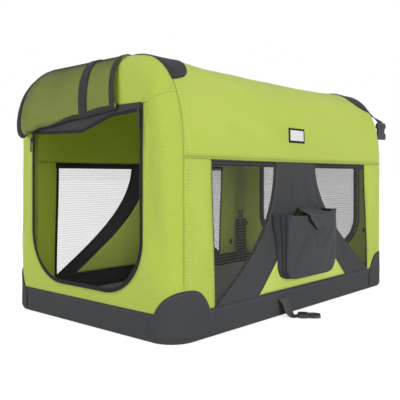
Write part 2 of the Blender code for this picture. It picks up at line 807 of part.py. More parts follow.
def curve_x(z):
    """The window edge's distance from mid-length at this height."""
    points = window_curve(40)
    for (xa, za), (xb, zb) in zip(points, points[1:]):
        if zb <= z <= za:
            return xa + (xb - xa) * (za - z) / max(za - zb, 1e-9)
    return points[0][0] if z > points[0][1] else points[-1][0]


def side_sheet(name, sy, x_low, x_high, x_steps, finish, rows=4):
    """Part of a side wall between the band and the window line."""
    zs = steps(BAND + GAP, WINDOW_TOP - GAP, rows)
    grid = [[(x, sy * side_y(x, z), z) for z in zs] for x in steps(x_low, x_high, x_steps)]
    mesh = turn_outwards(grid_mesh(name, grid), (0.0, 0.0, BAND))
    return thicken(place(name, mesh, finish), FABRIC)


def side_strip(side, sy, end, sx):
    """The green strip between a corner seam and a window."""
    ends = sorted((sx * (WINDOW_X + GAP), sx * (SEAM_X - GAP)))
    side_sheet(f"side_strip_{end}_{side}", sy, *ends, 3, GREEN)


def centre_panel(side, sy):
    """The charcoal panel between the two windows of a side. It widens to the band."""
    name = f"centre_panel_{side}"
    obj = side_sheet(name, sy, -WINDOW_X + GAP, WINDOW_X - GAP, 10, CHARCOAL)
    curve = [(x - 2 * GAP, z) for x, z in window_curve()]
    curve[0] = (curve[0][0], WINDOW_TOP + BAND)
    curve[-1] = (curve[-1][0], 0.0)
    outline = [(-x, z) for x, z in curve] + [(x, z) for x, z in reversed(curve)]
    ends = sorted((sy * SIDE_Y / 2, sy * 2 * SIDE_Y))
    boolean(obj, "INTERSECT", prism_mesh(f"{name}_outline", outline, "Y", *ends))


def side_window(side, sy, end, sx):
    """A net window with one upright edge and one swept edge."""
    name = f"window_{end}_{side}"
    ends = sorted((sx * (CENTRE_HALF - GAP), sx * WINDOW_X))
    obj = side_sheet(name, sy, *ends, 3, MESH)
    curve = window_curve()
    outline = [(sx * x, z) for x, z in curve]
    outline[0] = (outline[0][0], WINDOW_TOP + BAND)
    outline.append((sx * 2 * WINDOW_X, BAND + GAP))
    outline.append((sx * 2 * WINDOW_X, WINDOW_TOP + BAND))
    walls = sorted((sy * SIDE_Y / 2, sy * 2 * SIDE_Y))
    boolean(obj, "INTERSECT", prism_mesh(f"{name}_outline", outline, "Y", *walls))

    def holds(x, z):
        return abs(x) > curve_x(z) + NET_MARGIN

    lows = (min(sx * WINDOW_X, sx * CENTRE_HALF) + NET_MARGIN, BAND + NET_MARGIN)
    highs = (max(sx * WINDOW_X, sx * CENTRE_HALF) - NET_MARGIN, WINDOW_TOP - NET_MARGIN)
    centres = net_centres(lows, highs, holds)
    boolean(obj, "DIFFERENCE", holes_mesh(f"{name}_holes", centres, "Y", *walls))


def dome_mesh(name, centre, radii):
    """A rounded trimming shape: a sphere stretched to three radii."""
    placed = Matrix.Translation(centre) @ Matrix.Diagonal((*radii, 1.0))
    return mesh_of(
        name,
        lambda bm: bmesh.ops.create_uvsphere(
            bm, u_segments=24, v_segments=12, radius=1.0, matrix=placed
        ),
    )


def low_patch(end, sx, side, sy):
    """A charcoal patch sewn over a bottom corner, with a domed top edge."""
    name = f"bottom_corner_patch_{end}_{side}"
    corner_x = END_X - CORNER_RADIUS
    corner_y = SIDE_Y - CORNER_RADIUS
    radius = CORNER_RADIUS + GAP
    path = [(END_X + GAP, SIDE_Y - LOW_PATCH_END - CORNER_RADIUS)]
    path += [
        (corner_x + radius * cos(angle), corner_y + radius * sin(angle))
        for angle in steps(0.0, pi / 2, 8)
    ]
    path += [(x, SIDE_Y + GAP) for x in steps(corner_x, END_X - 1.4 * LOW_PATCH_SIDE, 4)[1:]]
    zs = steps(LOW_PATCH_FLOOR, LOW_PATCH_HIGH * 1.3, 4)
    grid = [[(sx * x, sy * (y - bow(x, z)), z) for z in zs] for x, y in path]
    mesh = turn_outwards(grid_mesh(name, grid), (0.0, 0.0, 0.0))
    obj = thicken(place(name, mesh, CHARCOAL), PATCH, outwards=True)
    middle = (END_X - LOW_PATCH_SIDE * LOW_DOME_IN, SIDE_Y - LOW_PATCH_END * LOW_DOME_IN)
    sizes = (LOW_PATCH_SIDE, LOW_PATCH_END, LOW_PATCH_HIGH)
    radii = [size * share for size, share in zip(sizes, LOW_DOME_SHARES)]
    dome = dome_mesh(f"{name}_dome", (sx * middle[0], sy * middle[1], 0.0), radii)
    boolean(obj, "INTERSECT", dome)


def top_patch(end, sx, side, sy):
    """A charcoal patch over a hoop's shoulder, against the end seam."""
    name = f"top_corner_patch_{end}_{side}"
    ends = end_stations()
    xs = ends + steps(ends[-1], SEAM_X - 1.1 * TOP_PATCH_LONG, 3)[1:]
    grid = []
    for x in xs:
        row = [shoulder_point(x, angle, -GAP) for angle in steps(0.0, pi / 2, 8)[3:]]
        edge, top = row[-1]
        row += [(y, top) for y in steps(edge, edge / 2, 2)[1:]]
        grid.append([(sx * x, sy * y, z) for y, z in row])
    mesh = turn_outwards(grid_mesh(name, grid), (0.0, 0.0, WINDOW_TOP))
    obj = thicken(place(name, mesh, CHARCOAL), PATCH, outwards=True)
    centre = (sx * SEAM_X, sy * (SIDE_Y - TOP_PATCH_ACROSS * TOP_DOME_IN), HEIGHT)
    sizes = (TOP_PATCH_LONG, TOP_PATCH_ACROSS, TOP_PATCH_HIGH)
    radii = [size * share for size, share in zip(sizes, TOP_DOME_SHARES)]
    boolean(obj, "INTERSECT", dome_mesh(f"{name}_dome", centre, radii))


def lifted(points, offset):
    """A path of (x, z) points moved sideways, outwards where it runs forwards and down."""
    found = []
    for n, (x, z) in enumerate(points):
        before = points[max(n - 1, 0)]
        after = points[min(n + 1, len(points) - 1)]
        dx, dz = after[0] - before[0], after[1] - before[1]
        size = sqrt(dx * dx + dz * dz)
        found.append((x + offset * dz / size, z - offset * dx / size))
    return found


def roll_profile(y):
    """The flipped door's middle line at y, as (x, z) points from the roof over the front to its root."""
    share = (y - ROLL_RIGHT) / (ROLL_LEFT - ROLL_RIGHT)
    bulge = ROLL_BULGE_RIGHT + (ROLL_BULGE_LEFT - ROLL_BULGE_RIGHT) * share
    low = ROLL_LOW_RIGHT + (ROLL_LOW_LEFT - ROLL_LOW_RIGHT) * share
    skin = []
    for back in ROLL_OVER_SEAM:
        x = -SEAM_X - SEAM_BACK * back
        z = shoulder_z(x, y)
        skin.append((x, z - front_droop(x, y, z)))
    points = lifted(skin, ROLL_ABOVE)
    top = points[-1][1]
    front = -ZIP_FACE - ROLL_FABRIC - GAP
    points += [(front - out * bulge, top - down * (top - low)) for out, down in ROLL_FACE]
    points += [(front - out * bulge, low + up * bulge) for out, up in ROLL_FOLD]
    return points + [(front + ROLL_FABRIC / 2, DOOR_TOP - GAP)]


def roll_sheet(name, ys, finish, offset, thickness):
    """A sheet along the flipped door's profile, lifted off its middle line by offset."""
    grid = []
    for y in ys:
        path = lifted(smooth_path(roll_profile(y), 1), offset)
        grid.append([(x, y, z) for x, z in path])
    mesh = grid_mesh(name, grid)
    turn_outwards(mesh, (-SEAM_X, 0.0, DOOR_TOP))
    obj = place(name, mesh, finish)
    wall = thicken(obj, thickness).modifiers["wall"]
    wall.offset = 0.0
    return obj


def smooth_path(points, between):
    """The same points with others put between them on a smooth curve."""
    found = []
    for n in range(len(points) - 1):
        p = [points[min(max(n + k, 0), len(points) - 1)] for k in (-1, 0, 1, 2)]
        for t in steps(0.0, 1.0, between + 1)[:-1]:
            weights = (
                -0.5 * t + t * t - 0.5 * t**3,
                1.0 - 2.5 * t * t + 1.5 * t**3,
                0.5 * t + 2.0 * t * t - 1.5 * t**3,
                -0.5 * t * t + 0.5 * t**3,
            )
            found.append(tuple(sum(w * q[a] for w, q in zip(weights, p)) for a in (0, 1)))
    return found + [points[-1]]


def front_door_roll():
    """The front door, unzipped and flipped up over the front edge, with a strap over it."""
    ys = steps(ROLL_RIGHT, ROLL_LEFT, 10)
    roll_sheet("front_door_roll", ys, MESH, 0.0, ROLL_FABRIC)
    ys = steps(ROLL_STRAP_Y - WEBBING / 2, ROLL_STRAP_Y + WEBBING / 2, 2)
    roll_sheet("roll_strap", ys, WEB, ROLL_FABRIC / 2 + 2 * GAP + FABRIC / 2, FABRIC)


def body_mesh(name, half, inset):
    """The body between two stations as one closed solid, to cut what is sewn on it."""
    grid = [arch(x, BAND / 2, inset, wall_steps=8) for x in steps(-half, half, 10)]

    def build(bm):
        rows = [[bm.verts.new(point) for point in row] for row in grid]
        count = len(grid[0])
        for near, far in zip(rows, rows[1:]):
            for j in range(count):
                k = (j + 1) % count
                bm.faces.new((near[j], near[k], far[k]))
                bm.faces.new((near[j], far[k], far[j]))
        bm.faces.new(rows[0])
        bm.faces.new(rows[-1])

    return mesh_of(name, build)


def pocket_outline(inset, top):
    """A pocket's face, as (x, z) points with rounded bottom corners."""
    radius = POCKET_RADIUS - inset
    cx = POCKET_HALF - POCKET_RADIUS
    cz = POCKET_BOTTOM + POCKET_RADIUS
    points = [(-POCKET_HALF + inset, top)]
    points += [(-cx + radius * cos(a), cz + radius * sin(a)) for a in steps(pi, 1.5 * pi, 5)]
    points += [(cx + radius * cos(a), cz + radius * sin(a)) for a in steps(1.5 * pi, 2 * pi, 5)]
    points.append((POCKET_HALF - inset, top))
    return points


def pocket():
    """A bellows pocket sewn on the right centre panel, open at the top."""
    face = -(SIDE_Y + POCKET_DEPTH)
    mesh = prism_mesh("pocket", pocket_outline(0.0, POCKET_TOP), "Y", face, -SIDE_Y / 2)
    obj = place("pocket", mesh, CHARCOAL)
    inside = pocket_outline(POCKET_WALL, POCKET_TOP + POCKET_DEPTH)
    hollow = prism_mesh("pocket_hollow", inside, "Y", face + POCKET_WALL, -SIDE_Y / 4)
    boolean(obj, "DIFFERENCE", hollow)
    boolean(obj, "DIFFERENCE", body_mesh("pocket_wall", POCKET_HALF * 1.3, -2 * GAP))


def pocket_flap():
    """A pointed flap that hangs over the pocket's front."""
    face = -(SIDE_Y + POCKET_DEPTH + GAP)
    low = POCKET_TOP - FLAP_DROP
    middle = (FLAP_FROM + FLAP_TO) / 2
    outline = [
        (FLAP_FROM, POCKET_TOP),
        (FLAP_FROM, low + FLAP_POINT),
        (FLAP_FROM + FLAP_POINT, low),
        (middle, low - FLAP_POINT),
        (FLAP_TO - FLAP_POINT, low),
        (FLAP_TO, low + FLAP_POINT),
        (FLAP_TO, POCKET_TOP),
    ]
    mesh = prism_mesh("pocket_flap", outline, "Y", face - FLAP, face)
    place("pocket_flap", mesh, CHARCOAL, origin=(middle, face - FLAP / 2, POCKET_TOP))


def label_patch():
    """A sewn label on the right shoulder, left bare."""
    xs = steps(LABEL_X - LABEL_HALF, LABEL_X + LABEL_HALF, 3)
    top = SHOULDER_HIGH - LABEL_BELOW_ROOF
    low = squared_angle((top - LABEL_TALL) / SHOULDER_HIGH)
    high = squared_angle(top / SHOULDER_HIGH)
    grid = []
    for x in xs:
        row = [shoulder_point(x, angle, -2 * GAP) for angle in steps(low, high, 2)]
        grid.append([(x, -y, z) for y, z in row])
    mesh = turn_outwards(grid_mesh("label_patch", grid), (0.0, 0.0, WINDOW_TOP))
    thicken(place("label_patch", mesh, WEB), PATCH, outwards=True)


def front_slider(side, sy, top, pull):
    """A zip slider on the front door's upright zip, and the tab that hangs from it."""
    y = sy * (DOOR_HALF - ZIP_TAPE / 2)
    back = -(ZIP_FACE + GAP)
    face = back - SLIDER_THICK
    low = (face, y - SLIDER_WIDE / 2, top - SLIDER_LONG)
    high = (back, y + SLIDER_WIDE / 2, top)
    name = f"front_zip_slider_{side}"
    mesh = box_mesh(name, low, high)
    slider = place(name, mesh, ZINC, origin=(back, y, top - SLIDER_LONG / 2), smooth=False)
    round_edges(slider, SLIDER_THICK / 4)
    pivot = (face - 2 * GAP - PULL_THICK / 2, y, top - SLIDER_LONG / 2)
    name = f"front_zip_pull_{side}"
    low = (pivot[0] - PULL_THICK / 2, y - PULL_WIDE / 2, pivot[2] - pull)
    high = (pivot[0] + PULL_THICK / 2, y + PULL_WIDE / 2, pivot[2] + PULL_THICK / 2)
    place(name, box_mesh(name, low, high), ZINC, origin=pivot, smooth=False)


def rear_slider(side, sy):
    """One of the two sliders that meet at the bottom of the shut rear door, with its tab."""
    y = sy * SLIDERS_APART / 2
    z = DOOR_BOTTOM + ZIP_TAPE / 2
    back = ZIP_FACE + GAP
    face = back + SLIDER_THICK
    name = f"rear_zip_slider_{side}"
    low = (back, y - SLIDER_LONG / 2, z - SLIDER_WIDE / 2)
    high = (face, y + SLIDER_LONG / 2, z + SLIDER_WIDE / 2)
    slider = place(name, box_mesh(name, low, high), ZINC, origin=(back, y, z), smooth=False)
    low = (face - GAP, y - PULL_WIDE / 2, z - REAR_PULL)
    high = (face + PULL_THICK, y + PULL_WIDE / 2, z + PULL_THICK)
    boolean(slider, "UNION", box_mesh(f"{name}_tab", low, high))


def ribbon(name, path, to_world, half_width, finish, origin):
    """A strap along a path of (reach, height) points, its width across them."""
    grid = [[to_world(r, w, z) for w in (-half_width, half_width)] for r, z in smooth_path(path, 3)]
    mesh = grid_mesh(name, grid)
    wall = thicken(place(name, mesh, finish, origin=origin), STRAP_FABRIC).modifiers["wall"]
    wall.offset = 0.0


def buckle_outline(start):
    """Half of a side-release buckle, as (reach, width) points: a body, two prongs and a guide."""
    half = BUCKLE_WIDE / 2
    body = start + BUCKLE_BODY
    tip = body + BUCKLE_PRONGS
    prong = half * 0.34
    guide = half * 0.16
    side = [
        (start, half * 0.86),
        (start + BUCKLE_BODY * 0.3, half),
        (body, half * 0.92),
        (body + BUCKLE_PRONGS * 0.45, half),
        (tip - BUCKLE_PRONGS * 0.1, half * 0.80),
        (tip - BUCKLE_PRONGS * 0.1, half * 0.80 - prong),
        (body, half * 0.92 - prong),
        (body, guide),
        (tip, guide),
    ]
    return side + [(r, -w) for r, w in reversed(side)]


def side_strap():
    """The strap sewn flat on the foot of the right side. It twists a little, down to the ground."""
    out = (cos(STRAP_HEADING), sin(STRAP_HEADING))
    root = (STRAP_X, -(SIDE_Y + GAP + STRAP_FABRIC / 2))
    twisted = STRAP_HEADING + pi / 2

    def to_world(r, w, z):
        across = twisted * smooth_step(r / STRAP_TWIST)
        return (root[0] + out[0] * r + w * cos(across), root[1] + out[1] * r + w * sin(across), z)

    lying = GAP + STRAP_FABRIC / 2
    middle = GAP + BUCKLE_THICK / 2
    path = [
        (0.0, STRAP_Z),
        (0.001, STRAP_Z - 0.25 * STRAP_Z),
        (0.006, STRAP_Z - 0.65 * STRAP_Z),
        (0.4 * SIDE_BUCKLE_FROM, lying + 0.0015),
        (0.7 * SIDE_BUCKLE_FROM, lying),
        (SIDE_BUCKLE_FROM - GAP, middle),
    ]
    pivot = to_world(0.0, 0.0, STRAP_Z)
    ribbon("side_strap", path, to_world, WEBBING / 2, WEB, pivot)

    def build(bm):
        corners = [bm.verts.new(to_world(r, w, GAP)) for r, w in buckle_outline(SIDE_BUCKLE_FROM)]
        drawn = bmesh.ops.extrude_face_region(bm, geom=[bm.faces.new(corners)])
        moved = [v for v in drawn["geom"] if isinstance(v, bmesh.types.BMVert)]
        bmesh.ops.translate(bm, verts=moved, vec=(0.0, 0.0, BUCKLE_THICK))

    place("side_buckle", mesh_of("side_buckle", build), PLASTIC, origin=pivot)


def corner_out(z):
    """How far the rear right corner stands out at this height, past its place at the strap's root."""
    x = END_X - CORNER_RADIUS * (1 - sqrt(0.5))
    root = shoulder_width(x, REAR_STRAP_Z)
    return x, root, (shoulder_width(x, z) - root) * sqrt(0.5)


def rear_strap():
    """The short strap high on the rear right corner. It twists the buckle's other half off the corner."""
    slant = sqrt(0.5)
    stand = GAP + STRAP_FABRIC / 2
    x, y, _ = corner_out(REAR_STRAP_Z)
    low = REAR_STRAP_Z - REAR_STRAP_DROP
    half = BUCKLE_THICK / 2

    def to_world(out, w, z, thick=0.0):
        turn = REAR_STRAP_TWIST * smooth_step((REAR_STRAP_Z - z) / REAR_STRAP_DROP)
        out, along = out + w * sin(turn) + thick * cos(turn), w * cos(turn) - thick * sin(turn)
        return (x + slant * (out + along), -y + slant * (along - out), z)

    stand_off = BUCKLE_WIDE / 2 * sin(REAR_STRAP_TWIST) + half * cos(REAR_STRAP_TWIST)
    middle = corner_out(low - BUCKLE_BODY - BUCKLE_PRONGS)[2] + FABRIC + stand_off
    path = []
    for share in steps(0.0, 1.0, 4):
        z = REAR_STRAP_Z - REAR_STRAP_DROP * share
        near = corner_out(z)[2] + stand
        path.append((near + (middle - near) * smooth_step(share), z))
    pivot = to_world(stand, 0.0, REAR_STRAP_Z)
    ribbon("rear_strap", path, to_world, REAR_WEBBING / 2, WEB, pivot)

    def build(bm):
        wide = BUCKLE_WIDE / 2
        long = BUCKLE_BODY + BUCKLE_PRONGS
        side = [(GAP, 0.8 * wide), (0.2 * long, wide), (0.9 * long, wide), (long, 0.9 * wide)]
        outline = side + [(r, -w) for r, w in reversed(side)]
        corners = [bm.verts.new(to_world(middle, w, low - r, -half)) for r, w in outline]
        drawn = bmesh.ops.extrude_face_region(bm, geom=[bm.faces.new(corners)])
        moved = [v for v in drawn["geom"] if isinstance(v, bmesh.types.BMVert)]
        deep = Vector(to_world(middle, 0.0, low, half)) - Vector(to_world(middle, 0.0, low, -half))
        bmesh.ops.translate(bm, verts=moved, vec=deep)

    place("rear_buckle", mesh_of("rear_buckle", build), PLASTIC, origin=pivot)


base_tub()
floor_board()
floor_mat()
base_rails()
for end, sx in ENDS:
    pivot_z = FRONT_PIVOT if end == "front" else REAR_PIVOT
    hoop(end, sx, pivot_z)
    end_panel(end, sx)
    zip_track(end, sx)
    for side, sy in SIDES:
        hinge_bracket(end, sx, side, sy, pivot_z)
        hinge_pin(end, sx, side, sy, pivot_z)
        lock_knob(end, sx, side, sy, pivot_z)
        low_patch(end, sx, side, sy)
        top_patch(end, sx, side, sy)
        side_strip(side, sy, end, sx)
        side_window(side, sy, end, sx)
for side, sy in SIDES:
    centre_panel(side, sy)
roof_panel()
rear_door()
front_door_roll()
pocket()
pocket_flap()
label_patch()
front_slider("right", -1, RIGHT_SLIDER_TOP, RIGHT_PULL)
front_slider("left", 1, LEFT_SLIDER_TOP, LEFT_PULL)
for side, sy in SIDES:
    rear_slider(side, sy)
side_strap()
rear_strap()
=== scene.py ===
"""The looks of a folding soft-sided pet carrier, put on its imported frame. Metres, +Z up.

+X runs from the front door to the rear door, and the right side, at -Y, has the pocket.
"""

from math import asin, cos, exp, hypot, pi, radians, sin, sqrt

import bmesh
import bpy
from mathutils import Matrix, Vector, noise


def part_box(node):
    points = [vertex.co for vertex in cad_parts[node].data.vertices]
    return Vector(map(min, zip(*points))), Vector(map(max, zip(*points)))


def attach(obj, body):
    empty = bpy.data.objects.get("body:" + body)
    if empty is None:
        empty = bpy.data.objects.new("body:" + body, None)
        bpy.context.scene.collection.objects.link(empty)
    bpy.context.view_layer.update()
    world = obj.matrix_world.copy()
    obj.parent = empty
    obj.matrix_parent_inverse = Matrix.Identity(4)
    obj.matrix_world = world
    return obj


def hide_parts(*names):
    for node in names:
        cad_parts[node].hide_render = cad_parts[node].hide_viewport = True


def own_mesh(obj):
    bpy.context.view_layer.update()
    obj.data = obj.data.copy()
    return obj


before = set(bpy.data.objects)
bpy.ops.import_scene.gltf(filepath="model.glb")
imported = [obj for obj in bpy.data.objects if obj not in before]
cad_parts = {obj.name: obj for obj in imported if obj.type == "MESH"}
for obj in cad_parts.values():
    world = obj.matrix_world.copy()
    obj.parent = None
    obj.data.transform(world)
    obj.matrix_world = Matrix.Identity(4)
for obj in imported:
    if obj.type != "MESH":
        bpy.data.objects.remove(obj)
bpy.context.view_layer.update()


# The stage: a pale floor, a white surround that only the camera and reflections see,
# three soft lamps, and the camera at the photograph's place.
CAMERA_AT = (-1.0896, -0.9138, 0.280)
CAMERA_ALONG = (0.7466, 0.6652, 0.0)
LENS = 53.28
SENSOR = 36.0
FRAME_SHIFT = -0.0568
FLOOR_WHITE = 0.80
FLOOR_GLOW = 0.70
FLOOR_SIZE = 90.0
FLOOR_UNDER = 0.0002
LAMPS_AIM = (0.0, 0.0, 0.25)
LAMPS = (
    ("key", (-0.5, -3.2, 0.6), 1.6, 66.0),
    ("fill", (-3.2, 0.0, 0.5), 1.4, 44.0),
    ("top", (0.4, 0.2, 2.8), 2.4, 2.0),
)
SURROUND_GREY = 0.92
SURROUND_STRENGTH = 0.51
WHITE = (1.0, 1.0, 1.0, 1.0)


def feed(node, inputs):
    """Sets a node's inputs to values, or links them to other nodes' outputs."""
    for socket, value in inputs.items():
        if isinstance(value, bpy.types.NodeSocket):
            node.id_data.links.new(value, node.inputs[socket])
        else:
            node.inputs[socket].default_value = value
    return node


def tree_node(tree, kind, inputs={}, **settings):
    """A node with these settings and inputs."""
    made = tree.nodes.new(kind)
    for name, value in settings.items():
        setattr(made, name, value)
    return feed(made, inputs)


def shader_node(tree, kind, inputs={}, **settings):
    """A shader's node with these settings and inputs."""
    return tree_node(tree, "ShaderNode" + kind, inputs, **settings)


def maths(tree, operation, *values):
    """What a Math node makes of these numbers and outputs."""
    return shader_node(tree, "Math", dict(enumerate(values)), operation=operation).outputs[0]


def seen_directly(tree):
    """1 for rays from the camera, mirrors and glass, and 0 for the light that reaches surfaces."""
    rays = shader_node(tree, "LightPath").outputs
    some = maths(tree, "MAXIMUM", rays["Is Camera Ray"], rays["Is Glossy Ray"])
    return maths(tree, "MAXIMUM", some, rays["Is Transmission Ray"])


camera = bpy.data.objects.new("camera", bpy.data.cameras.new("camera"))
bpy.context.scene.collection.objects.link(camera)
camera.location = CAMERA_AT
camera.rotation_euler = Vector(CAMERA_ALONG).to_track_quat("-Z", "Y").to_euler()
camera.data.lens = LENS
camera.data.sensor_width = SENSOR
camera.data.shift_y = FRAME_SHIFT
camera.data.dof.use_dof = False
bpy.context.scene.camera = camera
bpy.context.scene.view_settings.view_transform = "Standard"

for label, place, size, power in LAMPS:
    lamp = bpy.data.objects.new(f"lamp_{label}", bpy.data.lights.new(label, "AREA"))
    bpy.context.scene.collection.objects.link(lamp)
    lamp.data.size = size
    lamp.data.energy = power
    lamp.location = place
    lamp.rotation_euler = (Vector(LAMPS_AIM) - Vector(place)).to_track_quat("-Z", "Y").to_euler()

world = bpy.data.worlds.new("white surround")
bpy.context.scene.world = world
world.use_nodes = True
tree = world.node_tree
tree.nodes.clear()
grey = (SURROUND_GREY, SURROUND_GREY, SURROUND_GREY, 1.0)
lighting = shader_node(tree, "Background", {"Color": grey, "Strength": SURROUND_STRENGTH})
shown = shader_node(tree, "Background", {"Color": WHITE, "Strength": 1.0})
seen = seen_directly(tree)
either = shader_node(tree, "MixShader", {0: seen, 1: lighting.outputs[0], 2: shown.outputs[0]})
shader_node(tree, "OutputWorld", {"Surface": either.outputs[0]})

bpy.ops.mesh.primitive_plane_add(size=FLOOR_SIZE)
floor = bpy.context.object
floor.name = "stage_floor"
floor.location = (0.0, 0.0, -FLOOR_UNDER)
pale = bpy.data.materials.new("pale floor")
pale.use_nodes = True
tree = pale.node_tree
tree.nodes.clear()
matt = shader_node(tree, "BsdfDiffuse", {"Color": (FLOOR_WHITE, FLOOR_WHITE, FLOOR_WHITE, 1.0)})
shining = maths(tree, "MULTIPLY", seen_directly(tree), FLOOR_GLOW)
glow = shader_node(tree, "Emission", {"Color": WHITE, "Strength": shining})
both = shader_node(tree, "AddShader", {0: matt.outputs[0], 1: glow.outputs[0]})
shader_node(tree, "OutputMaterial", {"Surface": both.outputs[0]})
floor.data.materials.append(pale)


# The base tub: coated charcoal oxford cloth, cut as a floor and a band in one, its corners moulded
# round. The band's upper edge is turned in and sewn to the walls.
END_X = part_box("rear_panel")[1].x
SIDE_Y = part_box("side_strip_rear_left")[1].y
ROOF_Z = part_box("roof_panel")[1].z
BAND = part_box("base_tub")[1].z + 0.0003
CORNER_RADIUS = 0.050
TUB_EDGE_RADIUS = 0.006
TURNED_IN = 0.0012
TUB_BULGE = 0.0012
CLOTH = 0.0015
CHARCOAL = (0.052, 0.054, 0.058)
OXFORD_PITCH = 0.0011
CLOTH_ROUGHNESS = (0.95, 0.79)
CLOTH_SHEEN = 0.06


def steps(low, high, count):
    """Even places from low to high, with this many gaps between them."""
    return [low + (high - low) * n / count for n in range(count + 1)]


def node_group(name, kind, inputs, outputs):
    """An empty tree of nodes with these sockets, its given values and its end."""
    tree = bpy.data.node_groups.new(name, kind + "NodeTree")
    for label, carries, value in inputs:
        socket_type = "NodeSocket" + carries
        socket = tree.interface.new_socket(label, in_out="INPUT", socket_type=socket_type)
        if value is not None:
            socket.default_value = value
    for label, carries in outputs:
        tree.interface.new_socket(label, in_out="OUTPUT", socket_type="NodeSocket" + carries)
    return tree, tree.nodes.new("NodeGroupInput").outputs, tree.nodes.new("NodeGroupOutput")


def spread(tree, value, low, high, begin=0.0, end=1.0):
    """A value that runs from begin to end, drawn out to run from low to high."""
    ends = {"From Min": begin, "From Max": end, "To Min": low, "To Max": high}
    return shader_node(tree, "MapRange", {"Value": value, **ends}).outputs[0]


def speckle(tree, place, scale, detail=2.0, **more):
    """Smooth noise between 0 and 1, this fine."""
    inputs = {"Vector": place, "Scale": scale, "Detail": detail, **more}
    return shader_node(tree, "TexNoise", inputs).outputs["Fac"]


def opaque(colour, share=1.0):
    """A colour's four channels, made lighter or darker by this share."""
    return (*[min(c * share, 1.0) for c in colour], 1.0)


def relief(tree, height, distance, **more):
    """The normal of a surface with this height on it."""
    return shader_node(tree, "Bump", {"Height": height, "Distance": distance, **more}).outputs[0]


def new_material(name):
    """A material, its tree of nodes and its Principled shader."""
    made = bpy.data.materials.new(name)
    made.use_nodes = True
    return made, made.node_tree, made.node_tree.nodes["Principled BSDF"]


# Plain weave: rounded threads crossing at each pitch, painted shade in the gaps, uneven yarn.
weave_group, given, result = node_group(
    "woven threads",
    "Shader",
    [("Threads", "Vector", None), ("Pitch", "Float", 0.001), ("Slub", "Float", 0.3)],
    [("Height", "Float"), ("Shade", "Float")],
)
split = shader_node(weave_group, "SeparateXYZ", {0: given["Threads"]})
halves = []
for axis in (0, 1):
    turns = maths(weave_group, "DIVIDE", split.outputs[axis], given["Pitch"])
    wave = maths(weave_group, "SINE", maths(weave_group, "MULTIPLY", turns, pi))
    halves.append(maths(weave_group, "ABSOLUTE", wave))
crossing = maths(weave_group, "MULTIPLY", *halves)
grain = speckle(weave_group, given["Threads"], 420.0)
uneven = spread(weave_group, grain, -1.0, 1.0, 0.3, 0.7)
slub = maths(weave_group, "MULTIPLY_ADD", uneven, given["Slub"], 1.0)
# Painted shade: the colour darkens where the threads dip into the gaps between crossings.
gaps = spread(weave_group, crossing, 0.86, 1.04, 0.0, 0.5)
feed(result, {"Height": crossing, "Shade": maths(weave_group, "MULTIPLY", slub, gaps)})

# What handling leaves: shallow creases, and patches that have faded or rubbed.
handling_group, given, result = node_group(
    "handling",
    "Shader",
    [("Place", "Vector", None), ("Scale", "Float", 9.0), ("Fading", "Float", 0.1)],
    [("Creases", "Float"), ("Tone", "Float")],
)
where = given["Place"]
folds = speckle(handling_group, where, given["Scale"], 3.0, Roughness=0.45, Distortion=0.5)
patches = speckle(handling_group, where, 3.1, 6.0, Roughness=0.66)
swing = spread(handling_group, patches, -1.0, 1.0, 0.3, 0.7)
tone = maths(handling_group, "MULTIPLY_ADD", swing, given["Fading"], 1.0)
feed(result, {"Creases": folds, "Tone": tone})


def cloth_material(name, colour, pitch, slub=0.10, fading=0.05, crease=0.0028, raised=0.00022):
    """Woven cloth that follows its piece's own threads, with uneven yarn, creases and fading."""
    made, tree, shader = new_material(name)
    threads = shader_node(tree, "UVMap", uv_map="threads").outputs[0]
    weave = shader_node(tree, "Group", node_tree=weave_group)
    feed(weave, {"Threads": threads, "Pitch": pitch, "Slub": slub})
    handling = shader_node(tree, "Group", node_tree=handling_group)
    feed(handling, {"Place": threads, "Fading": fading})
    tones = maths(tree, "MULTIPLY", weave.outputs["Shade"], handling.outputs["Tone"])
    dyed = shader_node(
        tree,
        "Mix",
        {0: 1.0, 6: opaque(colour), 7: tones},
        data_type="RGBA",
        blend_type="MULTIPLY",
        clamp_factor=False,
    )
    creased = relief(tree, handling.outputs["Creases"], crease, Strength=1.0)
    height = weave.outputs["Height"]
    woven = relief(tree, height, raised, Strength=0.8, Normal=creased)
    look = {
        "Base Color": dyed.outputs[2],
        "Roughness": spread(tree, height, *CLOTH_ROUGHNESS),
        "Normal": woven,
        "Sheen Weight": CLOTH_SHEEN,
        "Specular IOR Level": 0.15,
    }
    feed(shader, look)
    return made


def put(name, mesh, finish):
    """A smooth piece of this mesh in the scene."""
    obj = bpy.data.objects.new(name, mesh)
    bpy.context.scene.collection.objects.link(obj)
    mesh.materials.clear()
    mesh.materials.append(finish)
    mesh.shade_smooth()
    return obj


def mesh_of(bm, name):
    """The bmesh as a mesh of this name."""
    mesh = bpy.data.meshes.new(name)
    bm.to_mesh(mesh)
    bm.free()
    return mesh


def cloth_mesh(name, grid, threads, away_from, close=False):
    """A sheet of quads through a grid of points, its UV map the cloth's threads in metres."""
    bm = bmesh.new()
    rows = [[bm.verts.new(point) for point in row] for row in grid]
    layer = bm.loops.layers.uv.new("threads")
    columns = len(grid[0])
    for i in range(len(rows) - 1):
        for j in range(columns if close else columns - 1):
            k = (j + 1) % columns
            corners = ((i, j), (i, k), (i + 1, k), (i + 1, j))
            face = bm.faces.new([rows[a][b] for a, b in corners])
            along = (j, j + 1, j + 1, j)
            for loop, (a, _), b in zip(face.loops, corners, along):
                loop[layer].uv = (threads[0][a], threads[1][b])
    middle = Vector(away_from)
    facing = sum(
        (face.calc_center_median() - middle).dot(face.normal) * face.calc_area()
        for face in bm.faces
        if not face.normal_update()
    )
    if facing < 0:
        bmesh.ops.reverse_faces(bm, faces=bm.faces)
    return mesh_of(bm, name)


def lengths_along(points):
    """How far along a line each of its points lies."""
    found = [0.0]
    for a, b in zip(points, points[1:]):
        found.append(found[-1] + (Vector(b) - Vector(a)).length)
    return found


